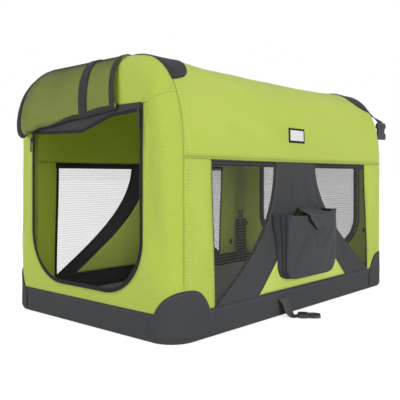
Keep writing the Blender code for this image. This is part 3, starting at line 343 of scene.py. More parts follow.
def cloth(mesh, finish, thickness, offset=-1.0):
    """A piece of cloth of this thickness, laid inwards from its mesh."""
    obj = put(mesh.name, mesh, finish)
    wall = obj.modifiers.new("wall", "SOLIDIFY")
    wall.thickness = thickness
    wall.offset = offset
    return obj


def plan(inset, corner_steps=12, side_steps=24):
    """The body's outline in plan, as (x, y) points round its four corners."""
    radius = CORNER_RADIUS - inset
    corners = []
    for quarter in range(4):
        cx = (END_X - CORNER_RADIUS) * (1 if quarter in (0, 3) else -1)
        cy = (SIDE_Y - CORNER_RADIUS) * (1 if quarter < 2 else -1)
        turn = steps(quarter * pi / 2, (quarter + 1) * pi / 2, corner_steps)
        corners.append([(cx + radius * cos(a), cy + radius * sin(a)) for a in turn])
    points = []
    for quarter, corner in enumerate(corners):
        after = corners[(quarter + 1) % 4][0]
        last = corner[-1]
        points += corner
        points += [
            (last[0] + (after[0] - last[0]) * t, last[1] + (after[1] - last[1]) * t)
            for t in steps(0.0, 1.0, side_steps)[1:-1]
        ]
    return points


def soft_noise(x, y, z, scale):
    """Smooth unevenness between about -1 and 1 that repeats every run."""
    return noise.noise(Vector((x, y, z)) * scale) * 1.6


oxford_charcoal = cloth_material("charcoal_oxford", CHARCOAL, OXFORD_PITCH, fading=0.07)
rings = [(0.0004, BAND + TURNED_IN), (0.0, BAND - 0.001)]
rings += [(0.0, z) for z in steps(BAND - 0.006, TUB_EDGE_RADIUS, 7)[1:]]
rings += [
    (TUB_EDGE_RADIUS * (1 - cos(a)), TUB_EDGE_RADIUS * (1 - sin(a)))
    for a in steps(0.0, pi / 2, 5)[1:]
]
outline = plan(0.0)
tub_grid = []
for inset, z in rings:
    ring = []
    for (x, y), (nx, ny) in zip(plan(inset), plan(0.02)):
        out = Vector((outline[len(ring)][0] - nx, outline[len(ring)][1] - ny, 0.0)).normalized()
        loose = sin(pi * min(max((z - 0.004) / (BAND - 0.004), 0.0), 1.0))
        uneven = soft_noise(x, y, z * 1.5, 9.0) + 0.25 * soft_noise(x, y, z, 31.0)
        bulge = TUB_BULGE * loose * uneven
        ring.append((x + out.x * bulge, y + out.y * bulge, z))
    tub_grid.append(ring)
around = lengths_along([(*p, 0.0) for p in outline] + [(*outline[0], 0.0)])
down = lengths_along([(inset, 0.0, z) for inset, z in rings])
tub_mesh = cloth_mesh("base_tub_cloth", tub_grid, (down, around), (0.0, 0.0, 0.03), close=True)
bm = bmesh.new()
bm.from_mesh(tub_mesh)
bm.faces.new([v for v in bm.verts if v.index >= len(bm.verts) - len(outline)])
bmesh.ops.recalc_face_normals(bm, faces=bm.faces)
for face in bm.faces:
    if len(face.verts) > 4 and face.normal.z > 0:
        bmesh.ops.reverse_faces(bm, faces=bm.faces)
        break
layer = bm.loops.layers.uv["threads"]
for face in bm.faces:
    if len(face.verts) > 4:
        for loop in face.loops:
            loop[layer].uv = loop.vert.co.xy
bm.to_mesh(tub_mesh)
bm.free()
tub = cloth(tub_mesh, oxford_charcoal, CLOTH)
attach(tub, "carrier")
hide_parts("base_tub")


# The frame: two bent steel tubes, four straight rails, nylon brackets that the hoops fold in,
# steel pins through them, and spring knobs. The tubes are powder coated, and worn where they are
# handled.
def object_coordinates(tree):
    """The place on the piece, in metres."""
    return tree.nodes.new("ShaderNodeTexCoord").outputs["Object"]


def blended(tree, factor, low, high):
    """A colour between two others."""
    return shader_node(tree, "Mix", {0: factor, 6: low, 7: high}, data_type="RGBA").outputs[2]


def scuffed(tree, place, colour, scuff_colour, most):
    """A colour with scuffed patches, which show this much at most."""
    broad = speckle(tree, place, 38.0, 5.0, Roughness=0.7)
    scuffs = spread(tree, broad, 0.0, most, 0.62, 0.74)
    return blended(tree, scuffs, opaque(colour), opaque(scuff_colour))


def hard_material(
    name, colour, roughness, metallic, grain_scale, grain_depth, scuff_colour, scuff_share
):
    """Moulded plastic or coated metal: fine grain in its gloss and relief, and scuffed patches."""
    made, tree, shader = new_material(name)
    place = object_coordinates(tree)
    fine = speckle(tree, place, grain_scale, 3.0)
    look = {
        "Base Color": scuffed(tree, place, colour, scuff_colour, scuff_share),
        "Roughness": spread(tree, fine, roughness - 0.08, roughness + 0.12),
        "Metallic": metallic,
        "Normal": relief(tree, fine, grain_depth),
    }
    feed(shader, look)
    return made


coated_steel = hard_material(
    "coated_steel", (0.045, 0.045, 0.049), 0.38, 0.55, 900.0, 0.00012, (0.20, 0.20, 0.21), 0.35
)
black_nylon = hard_material(
    "black_plastic", (0.022, 0.022, 0.024), 0.48, 0.0, 700.0, 0.00010, (0.075, 0.075, 0.078), 0.5
)
dark_zinc = hard_material(
    "dark_zinc", (0.040, 0.040, 0.043), 0.36, 0.8, 1100.0, 0.00006, (0.22, 0.22, 0.23), 0.5
)
for name, node_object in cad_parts.items():
    if name.startswith("base_rail") or name.endswith("hoop"):
        node_object.data.materials[0] = coated_steel
    if name.startswith("hinge_bracket") or name.startswith("lock_knob"):
        node_object.data.materials[0] = black_nylon
    if name.startswith("hinge_pin"):
        node_object.data.materials[0] = dark_zinc


# The floor board: a sheet of hardboard with a black printed face, sawn to the tub's inside and
# laid in it loose, under the mat.
BOARD_DARK = (0.022, 0.021, 0.020)
BOARD_LIGHT = (0.050, 0.046, 0.040)
FIBRES_LONG = 0.3


def board_material():
    """Printed hardboard whose fibres show faintly along its length."""
    made, tree, shader = new_material("black_board")
    stretch = {"Vector": object_coordinates(tree), "Scale": (FIBRES_LONG, 1.0, 1.0)}
    fibre = speckle(tree, shader_node(tree, "Mapping", stretch).outputs[0], 260.0, 4.0)
    look = {
        "Base Color": blended(tree, fibre, opaque(BOARD_DARK), opaque(BOARD_LIGHT)),
        "Roughness": spread(tree, fibre, 0.55, 0.85),
        "Normal": relief(tree, fibre, 0.0002),
    }
    feed(shader, look)
    return made


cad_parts["floor_board"].data.materials[0] = board_material()


# The floor mat: grey fleece over thin foam, sewn across in channels, its edge bound. It lies loose
# on the board between the frame's rails. It is blown up as cloth, then sewn down along its
# channels.
MAT_CHANNELS = 5
MAT_SHRINK = 0.004
MAT_VOXEL = 0.0055
MAT_PRESSURE = 3.0
MAT_CAP = 0.006
MAT_STEPS = 14
MAT_FOAM_EDGE = 0.005
MAT_FOAM_LESS = 0.003
SEWN_WIDE = 0.022
SEWN_DEEP = 0.0055
FLEECE = (0.052, 0.054, 0.058)
mat_low, mat_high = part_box("floor_mat")


def fleece_material(name, colour):
    """Fleece: matt fine hairs that lie in small clumps."""
    made, tree, shader = new_material(name)
    place = object_coordinates(tree)
    pile = speckle(tree, place, 900.0, 4.0, Roughness=0.7)
    tufts = shader_node(tree, "TexVoronoi", {"Vector": place, "Scale": 260.0})
    clumps = relief(tree, tufts.outputs["Distance"], 0.0012)
    look = {
        "Base Color": blended(tree, pile, opaque(colour, 0.65), opaque(colour, 1.45)),
        "Roughness": spread(tree, pile, 0.85, 1.0),
        "Normal": relief(tree, pile, 0.0008, Normal=clumps),
        "Sheen Weight": 0.45,
        "Specular IOR Level": 0.2,
    }
    feed(shader, look)
    return made


def round_edges(bm, edges, rounding):
    """Rounds these edges off by this much."""
    bmesh.ops.bevel(
        bm,
        geom=edges,
        offset=rounding,
        segments=3,
        affect="EDGES",
        profile=0.5,
        clamp_overlap=True,
    )


def mat_cage():
    """A slightly small closed pad that the cloth starts from."""
    middle = (mat_low + mat_high) / 2
    half = (mat_high - mat_low) / 2 - Vector((MAT_SHRINK, MAT_SHRINK, MAT_FOAM_LESS))
    bm = bmesh.new()
    bmesh.ops.create_cube(bm, size=2.0, matrix=Matrix.Diagonal((*half, 1.0)))
    round_edges(bm, list(bm.edges), MAT_FOAM_EDGE)
    bmesh.ops.translate(bm, verts=bm.verts, vec=middle)
    return mesh_of(bm, "floor_mat_pad")


def channel_depth(x):
    """How far the mat is drawn down at this place by the rows of sewing across it."""
    length = mat_high.x - mat_low.x
    share = (x - mat_low.x) / length * (MAT_CHANNELS + 1)
    off = abs(share - round(share)) * length / (MAT_CHANNELS + 1)
    sewn = 0 < round(share) < MAT_CHANNELS + 1
    return (1.0 - min(off / SEWN_WIDE, 1.0)) ** 2 if sewn else 0.0


def apply_modifiers(obj):
    """The object's mesh as its modifiers leave it, with no modifier left."""
    graph = bpy.context.evaluated_depsgraph_get()
    mesh = bpy.data.meshes.new_from_object(obj.evaluated_get(graph))
    obj.modifiers.clear()
    obj.data = mesh
    return obj


fleece = fleece_material("grey_fleece", FLEECE)
pad = put("floor_mat_pad", mat_cage(), fleece)
remesh = pad.modifiers.new("even faces", "REMESH")
remesh.mode = "VOXEL"
remesh.voxel_size = MAT_VOXEL
apply_modifiers(pad)
before = [v.co.copy() for v in pad.data.vertices]
blown = pad.modifiers.new("stuffing", "CLOTH")
blown.settings.use_pressure = True
blown.settings.uniform_pressure_force = MAT_PRESSURE
blown.settings.effector_weights.gravity = 0.0
blown.settings.quality = 5
for number in range(1, MAT_STEPS + 1):
    bpy.context.scene.frame_set(number)
apply_modifiers(pad)
bpy.context.scene.frame_set(1)
for vertex, old in zip(pad.data.vertices, before):
    moved = vertex.co - old
    if moved.length > MAT_CAP:
        vertex.co = old + moved.normalized() * MAT_CAP
for vertex in pad.data.vertices:
    x, y, z = vertex.co
    if z > mat_low.z + 0.006:
        z -= SEWN_DEEP * channel_depth(x) + 0.0008 * soft_noise(x, y, 0.0, 14.0)
    vertex.co = (
        min(max(x, mat_low.x), mat_high.x),
        min(max(y, mat_low.y), mat_high.y),
        min(max(z, mat_low.z), mat_high.z),
    )
pad.data.shade_smooth()
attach(pad, "carrier")
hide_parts("floor_mat")


# The walls' skin: where the cloth stands when the hoops hold it tight. The sides bow in and the
# roof sags half way between the hoops, and the front's top edge hangs where no tube holds it up.
SHOULDER_ACROSS = 0.125
SHOULDER_HIGH = 0.180
SHOULDER_SQUARE = 0.85
END_ROUNDING = 0.029
SEAM_BACK = 0.029
SIDE_BOW = 0.022
BOW_STARTS = 0.010
ROOF_SAG = 0.004
FRONT_DROOP = 0.030
DROOP_FROM = -0.140
DROOP_TO = 0.090
WINDOW_TOP = 0.312
DOOR_TOP = 0.408
HOOP_FRONT = 0.010
SEAM_X = END_X - SEAM_BACK
SHOULDER_Y = SIDE_Y - SHOULDER_ACROSS
SHOULDER_Z = ROOF_Z - SHOULDER_HIGH


def smooth_step(t):
    """A smooth rise from 0 to 1 as t goes from 0 to 1."""
    t = min(max(t, 0.0), 1.0)
    return t * t * (3.0 - 2.0 * t)


def drawn_in(reach, radius):
    """How far a rounded corner has drawn in at this distance from the face that it turns into."""
    if reach >= radius:
        return 0.0
    return radius - sqrt(max(radius**2 - (radius - max(reach, 0.0)) ** 2, 0.0))


def hang(x):
    """How freely the cloth hangs between the hoops: 0 at a hoop and 1 half way."""
    return max(0.0, 1.0 - (x / SEAM_X) ** 2)


def bow(x, z):
    """How far a side has bowed in at this place."""
    low = BAND + BOW_STARTS
    rise = smooth_step((z - low) / (WINDOW_TOP - low))
    fade = 1.0 - 0.6 * smooth_step((z - SHOULDER_Z) / SHOULDER_HIGH)
    return SIDE_BOW * hang(x) * rise * fade


def side_y(x, z):
    """Half the body's width at this place below the shoulder."""
    return SIDE_Y - drawn_in(END_X - abs(x), CORNER_RADIUS) - bow(x, z)


def squared(angle):
    """A quarter turn's cosine and sine, a little squarer than a circle's."""
    return max(cos(angle), 0.0) ** SHOULDER_SQUARE, max(sin(angle), 0.0) ** SHOULDER_SQUARE


def squared_angle(sine):
    """The angle whose squared sine this is."""
    return asin(min(max(sine, 0.0), 1.0) ** (1.0 / SHOULDER_SQUARE))


def shoulder_point(x, angle):
    """(half width, height) on the shoulder, from its foot at 0 to the roof at 90 degrees."""
    reach = END_X - abs(x)
    across = SHOULDER_ACROSS - drawn_in(reach, CORNER_RADIUS)
    up = SHOULDER_HIGH - drawn_in(reach, END_ROUNDING)
    along, rise = squared(angle)
    z = SHOULDER_Z + up * rise
    sag = ROOF_SAG * hang(x) * smooth_step((z - SHOULDER_Z) / SHOULDER_HIGH)
    return SHOULDER_Y + across * along - bow(x, z), z - sag


def skin(x, station):
    """A point of the body's section at x. Stations run from -3, the right foot, over -2, the right
    shoulder's foot, and -1, its top, to the left side at 1, 2 and 3."""
    side = -1 if station < 0 else 1
    place = abs(station)
    if place > 2.0:
        z = BAND + (SHOULDER_Z - BAND) * (3.0 - place)
        return Vector((x, side * side_y(x, z), z))
    if place > 1.0:
        y, z = shoulder_point(x, (2.0 - place) * pi / 2)
        return Vector((x, side * y, z))
    edge, top = shoulder_point(x, pi / 2)
    return Vector((x, edge * station, top))


def front_droop(x, y, z):
    """How far the front's top edge hangs, ahead of its hoop and away from the right shoulder."""
    ahead = smooth_step((-x - (SEAM_X + HOOP_FRONT - 0.004)) / (SEAM_BACK / 2))
    leftwards = smooth_step((y - DROOP_FROM) / (DROOP_TO - DROOP_FROM))
    high = smooth_step((z - DOOR_TOP) / (ROOF_Z - END_ROUNDING - DOOR_TOP))
    return FRONT_DROOP * ahead * leftwards * high


def station_at(z):
    """The station of this height on a side wall or shoulder, half way along the body's length."""
    if z <= SHOULDER_Z:
        return 3.0 - (z - BAND) / (SHOULDER_Z - BAND)
    return 2.0 - squared_angle((z - SHOULDER_Z) / SHOULDER_HIGH) / (pi / 2)


def outwards(x, station):
    """The skin's outward direction."""
    step = 0.01
    along = skin(x + step, station) - skin(x - step, station)
    across = skin(x, station + step) - skin(x, station - step)
    return along.cross(across).normalized()


def crease(point, start, end, width, depth):
    """How deep a soft fold that runs from start to end is at this point."""
    a, b, p = Vector(start), Vector(end), Vector(point)
    along = b - a
    share = (p - a).dot(along) / along.length_squared
    if not 0.0 < share < 1.0:
        return 0.0
    off = (p - a - along * share).length
    ends = smooth_step(share * 4.0) * smooth_step((1.0 - share) * 4.0)
    return depth * ends * exp(-((off / width) ** 2))


def tucked(inside):
    """How deep a cloth is tucked behind its neighbour, this far inside the seam between them."""
    return 0.0004 + 0.0016 * (1.0 - smooth_step((inside + 0.0005) / 0.003))


def sewn_on(obj, slot, *nodes, body="carrier"):
    """Ties a piece of the cloth walls to its body, and hides the parts that it stands for."""
    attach(obj, body)
    if nodes:
        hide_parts(*nodes)
    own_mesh(obj)
    return obj


# The hoops' sleeves: tubes of the same green cloth sewn inside the end seams, which the hoops run
# through. They hide the steel from the brackets up, and ruck a little round the bends.
HOOP_X = SEAM_X - 0.002
LEG_Y = SIDE_Y - 0.0251
HOOP_CROWN = ROOF_Z - 0.0098
SLEEVE_FROM = {"front": 0.105, "rear": 0.180}
SLEEVE_OUTSIDE = 0.0083
SLEEVE_INSIDE = 0.0104
RUCK_PITCH = 0.011
RUCK_HIGH = 0.0006
RUCK_UNEVEN = 0.0009
THIN_CLOTH = 0.0003
LIME = (0.452, 0.550, 0.094)
ENDS = (("front", -1), ("rear", 1))
oxford_lime = cloth_material("lime_oxford", LIME, OXFORD_PITCH, fading=0.045)
thin = oxford_lime.node_tree.nodes["Principled BSDF"]
thin.inputs["Subsurface Weight"].default_value = 0.95
thin.inputs["Subsurface Radius"].default_value = (1.0, 1.0, 0.45)
thin.inputs["Subsurface Scale"].default_value = 0.003


def hoop_line(foot):
    """The hoop's middle line as (y, z) points, from its right leg over to its left."""
    up = HOOP_CROWN - SHOULDER_Z
    half = [(LEG_Y, z) for z in steps(foot, SHOULDER_Z - up * 0.15, 12)]
    for angle in steps(0.0, pi / 2, 20):
        along, rise = squared(angle)
        half.append((SHOULDER_Y + (LEG_Y - SHOULDER_Y) * along, SHOULDER_Z + up * rise))
    over = [(y, HOOP_CROWN) for y in steps(-SHOULDER_Y, SHOULDER_Y, 12)[1:-1]]
    return [(-y, z) for y, z in half] + over + [(y, z) for y, z in reversed(half)]


for end, sx in ENDS:
    line = hoop_line(SLEEVE_FROM[end])
    along = lengths_along([(0.0, *p) for p in line])
    turns = steps(0.0, 2 * pi, 20)
    grid = []
    for n, (y, z) in enumerate(line):
        before, after = line[max(n - 1, 0)], line[min(n + 1, len(line) - 1)]
        ahead = Vector((0.0, after[0] - before[0], after[1] - before[1])).normalized()
        outside = Vector((0.0, -ahead.z, ahead.y))
        ring = []
        for turn in turns[:-1]:
            inside = 0.5 - 0.5 * cos(turn)
            radius = SLEEVE_OUTSIDE + (SLEEVE_INSIDE - SLEEVE_OUTSIDE) * smooth_step(inside * 1.6)
            ruck = RUCK_HIGH * sin(along[n] / RUCK_PITCH + 2.0 * sin(turn * 2))
            ruck += RUCK_UNEVEN * soft_noise(sx, along[n], turn, 30.0)
            radius += ruck * inside
            beside = outside * (radius * cos(turn)) + Vector((radius * sin(turn), 0, 0))
            ring.append(Vector((sx * HOOP_X, y, z)) + beside)
        grid.append(ring)
    threads = (along, [turn * 0.009 for turn in turns])
    mesh = cloth_mesh(f"hoop_sleeve_{end}", grid, threads, (sx * HOOP_X, 0.0, 0.25), close=True)
    bm = bmesh.new()
    bm.from_mesh(mesh)
    bmesh.ops.recalc_face_normals(bm, faces=bm.faces)
    bm.to_mesh(mesh)
    bm.free()
    sleeve = cloth(mesh, oxford_lime, THIN_CLOTH)
    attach(sleeve, f"{end}_frame")


# The green side strips: oxford cloth between an end's seam and a window, from the band up to the
# roof piece. Each is sewn on all four sides, and puckers a little along its seams.
SEAM_GAP = 0.0003
SEAM_UNDER = 0.003
WALL_CLOTH = CLOTH * 0.7
WINDOW_X = END_X - 0.105
PATCH_REACH = 0.104
STRIP_WAVE = 0.0022
STRIP_WAVE_MORE = 0.0014
STRIP_PROUD = 0.0006
STRIP_PUCKER = 0.0008
SIDES = (("right", -1), ("left", 1))
BODY_MIDDLE = (0.0, 0.0, 0.2)


def wall_heights(count):
    """Heights up a side wall, with both ends under the neighbours that they are sewn to."""
    seen = steps(BAND + SEAM_GAP, WINDOW_TOP - SEAM_GAP, count)
    return [BAND - SEAM_UNDER] + seen + [WINDOW_TOP + SEAM_UNDER]


def pucker(along, from_edge, depth, pitch=0.017, reach=0.014):
    """The small gathers beside a seam."""
    wander = 3.0 * noise.noise(Vector((along * 30, 0, 0)))
    return depth * sin(2 * pi * along / pitch + wander) * max(0.0, 1.0 - from_edge / reach)


def strip_wave(x, z, sy):
    """How far a side strip's cloth stands off its plain skin."""
    edge = max(min(abs(x) - WINDOW_X, SEAM_X - abs(x)), 0.0)
    free = max(min((z - BAND) / 0.03, (WINDOW_TOP - z) / 0.03, 1.0), 0.0)
    free *= min(edge / 0.02, 1.0)
    above = smooth_step((z - PATCH_REACH) / 0.04)
    high = STRIP_WAVE + STRIP_WAVE_MORE * above
    out = free * (high * soft_noise(x * 1.8, sy * 3.0, z * 0.8, 15.0) + STRIP_PROUD * above)
    return out + pucker(z, edge, STRIP_PUCKER) * min(free * 4, 1.0)


def on_strip(x, z, sy, lift):
    """A point of a side strip's cloth, lifted off it by this much."""
    return (x, sy * (side_y(x, z) + strip_wave(x, z, sy) + lift), z)


for end, sx in ENDS:
    for side, sy in SIDES:
        low, high = sorted((sx * WINDOW_X, sx * (SEAM_X - SEAM_GAP)))
        xs = steps(low, high, 14)
        zs = wall_heights(60)
        tucks = [tucked(min(z - BAND, WINDOW_TOP - z)) for z in zs]
        grid = [[on_strip(x, z, sy, -tuck) for z, tuck in zip(zs, tucks)] for x in xs]
        threads = ([x - low for x in xs], zs)
        mesh = cloth_mesh(f"side_strip_cloth_{end}_{side}", grid, threads, BODY_MIDDLE)
        strip = cloth(mesh, oxford_lime, WALL_CLOTH)
        sewn_on(strip, "lime_oxford", f"side_strip_{end}_{side}")
        wide, tall = (high - low) * 1.02, (zs[-1] - zs[0]) * 1.02


# The centre panels: charcoal oxford between the two windows of a side, widening to the band, sewn
# together down the middle. A green triangle is sewn on the foot of each, with turned-in edges.
CENTRE_HALF = 0.076
WINDOW_HANDLE_TOP = 0.115
WINDOW_HANDLE_FOOT = 0.120
WINDOW_FOOT_SLOPE = radians(34.0)
TRIANGLE_FOOT = (-0.163, 0.176)
TRIANGLE_LOW = 0.0535
TRIANGLE_TOP = (0.002, 0.212)
PANEL_CUT = 0.0006
LINING_TOP = 0.235
LINING_IN = 0.052
LINING_CLOTH = 0.0006
TRIANGLE_CLOTH = 0.0007
# A lighter copy of the lime oxford, painted light, for the linings inside and the triangles.
LIT_LIME = (0.560, 0.670, 0.135)
PANEL_WAVE = 0.0014
PANEL_FOLDED = 0.0022
PANEL_SEAM = 0.0008
TRIANGLE_LIFT = 0.0004
PANEL_FOLDS = ((-0.16, 0.012), (-0.05, 0.010), (0.07, 0.012), (0.19, 0.014))
lit_lime = cloth_material("lime_oxford_painted_light", LIT_LIME, OXFORD_PITCH, fading=0.045)


def window_curve(count=40):
    """A window's edge on the centre panel, as (distance from mid-length, z), from its top."""
    top = (CENTRE_HALF, WINDOW_TOP - SEAM_GAP)
    foot = (WINDOW_X, BAND + SEAM_GAP)
    a = (CENTRE_HALF, top[1] - WINDOW_HANDLE_TOP)
    b = (
        foot[0] - WINDOW_HANDLE_FOOT * cos(WINDOW_FOOT_SLOPE),
        foot[1] + WINDOW_HANDLE_FOOT * sin(WINDOW_FOOT_SLOPE),
    )
    points = []
    for t in steps(0.0, 1.0, count):
        weights = ((1 - t) ** 3, 3 * t * (1 - t) ** 2, 3 * t * t * (1 - t), t**3)
        pulls = list(zip(weights, (top, a, b, foot)))
        points.append(tuple(sum(w * p[n] for w, p in pulls) for n in (0, 1)))
    return points


WINDOW_EDGE = window_curve()


def curve_x(z):
    """The window edge's distance from mid-length at this height."""
    for (xa, za), (xb, zb) in zip(WINDOW_EDGE, WINDOW_EDGE[1:]):
        if zb <= z <= za:
            return xa + (xb - xa) * (za - z) / max(za - zb, 1e-9)
    return WINDOW_EDGE[0][0] if z > WINDOW_EDGE[0][1] else WINDOW_EDGE[-1][0]


def panel_wave(x, z, sy):
    """How far a centre panel's cloth stands off its plain skin, by folds that fan from its top."""
    edge = curve_x(z) - abs(x)
    free = max(min(edge / 0.02, (z - BAND) / 0.02, (WINDOW_TOP - z) / 0.02, 1.0), 0.0)
    out = PANEL_WAVE * soft_noise(x, sy * 5.0, z, 11.0)
    for foot, wide in PANEL_FOLDS:
        out -= crease((x, 0.0, z), (foot * 0.25, 0.0, 0.31), (foot, 0.0, 0.07), wide, PANEL_FOLDED)
    return free * out


def on_panel(x, z, sy, lift):
    """A point of a centre panel's cloth, lifted off it by this much."""
    return (x, sy * (side_y(x, z) + panel_wave(x, z, sy) + lift), z)


for side, sy in SIDES:
    zs = wall_heights(64)
    us = steps(-1.0, 1.0, 56)
    grid = []
    for u in us:
        row = []
        for z in zs:
            x = u * (curve_x(z) - PANEL_CUT)
            middle_seam = max(0.0, 1.0 - abs(x) / 0.004) * min(1.0, z / 0.1)
            out = panel_wave(x, z, sy) - PANEL_SEAM * middle_seam
            ends = min(z - BAND, WINDOW_TOP - z)
            row.append((x, sy * (side_y(x, z) + out - tucked(ends)), z))
        grid.append(row)
    threads = ([u * 0.2 for u in us], zs)
    mesh = cloth_mesh(f"centre_panel_cloth_{side}", grid, threads, BODY_MIDDLE)
    panel = cloth(mesh, oxford_charcoal, WALL_CLOTH)
    sewn_on(panel, "charcoal_oxford", f"centre_panel_{side}")

    # The lining inside takes the lighter lime: painted light where the lamps leave the inside dim.
    zs = steps(BAND + 0.004, LINING_TOP, 30)
    us = steps(-1.0, 1.0, 24)
    halves = [max(curve_x(z) - LINING_IN, 0.002) for z in zs]
    grid = [[on_panel(u * half, z, sy, -2.0 * CLOTH) for z, half in zip(zs, halves)] for u in us]
    outside = (0.0, sy * 2.0, 0.2)
    mesh = cloth_mesh(f"centre_lining_{side}", grid, ([u * 0.2 for u in us], zs), outside)
    lining = cloth(mesh, lit_lime, LINING_CLOTH)
    sewn_on(lining, "lime_oxford")
    wide = 2 * (curve_x(BAND) - LINING_IN)

    rows = steps(0.0, 1.0, 22)
    grid = []
    for t in rows:
        z = TRIANGLE_LOW + (TRIANGLE_TOP[1] - TRIANGLE_LOW) * t
        left = TRIANGLE_FOOT[0] + (TRIANGLE_TOP[0] - TRIANGLE_FOOT[0]) * t
        right = TRIANGLE_FOOT[1] + (TRIANGLE_TOP[0] - TRIANGLE_FOOT[1]) * t
        xs = [-sy * x for x in steps(left, right + 0.0004, 30)]
        grid.append([on_panel(x, z, sy, TRIANGLE_LIFT) for x in xs])
    threads = ([t * 0.16 for t in rows], steps(0.0, 0.34, 30))
    mesh = cloth_mesh(f"side_triangle_{side}", grid, threads, BODY_MIDDLE)
    triangle = cloth(mesh, lit_lime, TRIANGLE_CLOTH, 1.0)
    sewn_on(triangle, "lime_oxford")
    foot, high = TRIANGLE_FOOT[1] - TRIANGLE_FOOT[0], TRIANGLE_TOP[1] - TRIANGLE_LOW


# The windows: a knitted black net with diamond holes, sewn to its neighbours under a dark tape
# that shows as a narrow line outside and a wider band inside.
NET_PITCH = 0.0036
NET_OPEN = 0.97
NET_CLOSED = 0.66
NET_BAND = 3
NET_RELIEF = 0.13
NET_COLOUR = (0.090, 0.086, 0.081)
NET_TONES = (0.35, 2.4)
TAPE_WIDE = 0.006
TAPE_THICK = 0.0008
WEBBING_COLOUR = (0.038, 0.038, 0.041)
TOP_TAPE_WIDE = 0.013


def grown(name, mesh, tree, values):
    """The plain mesh that a tree of geometry nodes makes from a source mesh."""
    seed = bpy.data.objects.new(name, mesh)
    bpy.context.scene.collection.objects.link(seed)
    rule = seed.modifiers.new("rule", "NODES")
    rule.node_group = tree
    for item in tree.interface.items_tree:
        if item.in_out == "INPUT" and item.name in values:
            rule[item.identifier] = values[item.name]
    graph = bpy.context.evaluated_depsgraph_get()
    made = bpy.data.meshes.new_from_object(seed.evaluated_get(graph))
    bpy.data.objects.remove(seed)
    made.name = name
    return made


def piece_of(name, mesh):
    """A piece of this mesh, which has its material already."""
    obj = bpy.data.objects.new(name, mesh)
    bpy.context.scene.collection.objects.link(obj)
    return obj


def realized(tree, geometry, yarn, result):
    """Ends a tree: its instances made real, in this yarn."""
    real = tree_node(tree, "GeometryNodeRealizeInstances", {0: geometry})
    inputs = {"Geometry": real.outputs[0], "Material": yarn}
    feed(result, {0: tree_node(tree, "GeometryNodeSetMaterial", inputs).outputs[0]})


# The knitting: each cell of a flat net is drawn in to its own share and opened, which leaves the
# yarn round it standing a little proud.
net_tree, given, result = node_group(
    "knitted net",
    "Geometry",
    [("Geometry", "Geometry", None), ("Relief", "Float", 0.0003), ("Yarn", "Material", None)],
    [("Geometry", "Geometry")],
)
openness = tree_node(net_tree, "GeometryNodeInputNamedAttribute", {"Name": "open"})
risen = tree_node(
    net_tree,
    "GeometryNodeExtrudeMesh",
    {"Mesh": given["Geometry"], "Offset Scale": given["Relief"], "Individual": True},
    mode="FACES",
).outputs
drawn = tree_node(
    net_tree,
    "GeometryNodeScaleElements",
    {"Geometry": risen["Mesh"], "Selection": risen["Top"], "Scale": openness.outputs[0]},
    domain="FACE",
)
holes = tree_node(
    net_tree,
    "GeometryNodeDeleteGeometry",
    {"Geometry": drawn.outputs[0], "Selection": risen["Top"]},
    domain="FACE",
)
realized(net_tree, holes.outputs[0], given["Yarn"], result)


def net_material(name, colour):
    """Knitted yarn, lighter where the rows are heavy."""
    made, tree, shader = new_material(name)
    place = object_coordinates(tree)
    yarn = speckle(tree, place, 1500.0)
    uneven = maths(tree, "MULTIPLY", yarn, speckle(tree, place, 7.0))
    tint = blended(tree, uneven, opaque(colour, 0.6), opaque(colour, 3.0))
    cell = shader_node(tree, "Attribute", attribute_name="open")
    heavy = spread(tree, cell.outputs["Fac"], *NET_TONES, NET_OPEN, NET_CLOSED)
    rows = shader_node(tree, "VectorMath", {0: tint, "Scale": heavy}, operation="SCALE")
    look = {
        "Base Color": rows.outputs[0],
        "Roughness": spread(tree, yarn, 0.5, 0.8),
        "Normal": relief(tree, yarn, 0.0002),
    }
    feed(shader, look)
    return made


def net_cells(name, low, high, pitch, holds, to_world):
    """Diamond cells between two corners of a flat cut, kept where holds(a, b) allows."""
    bm = bmesh.new()
    share = bm.faces.layers.float.new("open")
    corners = {}

    def corner(i, j):
        if (i, j) not in corners:
            a = low[0] + (i + j) * pitch / 2
            b = low[1] + (i - j) * pitch / 2
            corners[i, j] = bm.verts.new(to_world(a, b))
        return corners[i, j]

    wide = int((high[0] - low[0]) / pitch) + 2
    tall = int((high[1] - low[1]) / pitch) + 2
    for m in range(2 * wide):
        for n in range(2 * tall):
            if (m + n) % 2:
                continue
            a = low[0] + m * pitch / 2
            b = low[1] + n * pitch / 2
            if a > high[0] or b > high[1] or not holds(a, b):
                continue
            i, j = (m + n) // 2, (m - n) // 2
            diamond = ((i, j - 1), (i + 1, j - 1), (i + 1, j), (i, j))
            face = bm.faces.new([corner(*place) for place in diamond])
            face[share] = NET_OPEN if n % NET_BAND else NET_CLOSED
    return mesh_of(bm, name)


def facing_out(mesh, away_from):
    """Turns the mesh's faces away from a point inside the body."""
    middle = Vector(away_from)
    facing = sum((face.center - middle).dot(face.normal) * face.area for face in mesh.polygons)
    if facing < 0:
        mesh.flip_normals()
    return mesh


def ribbon(name, line, across, wide, finish, thickness=TAPE_THICK):
    """A tape along a line of points, its width laid in this direction."""
    half = Vector(across) * wide / 2
    grid = [[Vector(point) + half * s for s in (-1.0, -0.5, 0.0, 0.5, 1.0)] for point in line]
    threads = (lengths_along(line), [wide * s / 4 for s in range(5)])
    return cloth(cloth_mesh(name, grid, threads, BODY_MIDDLE), finish, thickness, 0.0)


def knitted(name, low, high, pitch, holds, to_world, away_from=BODY_MIDDLE):
    """A piece of net, and the area of the cut that it fills."""
    cells = facing_out(net_cells(name, low, high, pitch, holds, to_world), away_from)
    cut = sum(face.area for face in cells.polygons)
    values = {"Relief": NET_RELIEF * pitch, "Yarn": black_net}
    return piece_of(name, grown(name, cells, net_tree, values)), cut


def in_window(a, b):
    """Whether a window's net has a cell at this distance from mid-length and height."""
    if not BAND + 0.002 < b < WINDOW_TOP - 0.001:
        return False
    return curve_x(b) + 0.001 < abs(a) < WINDOW_X - 0.001


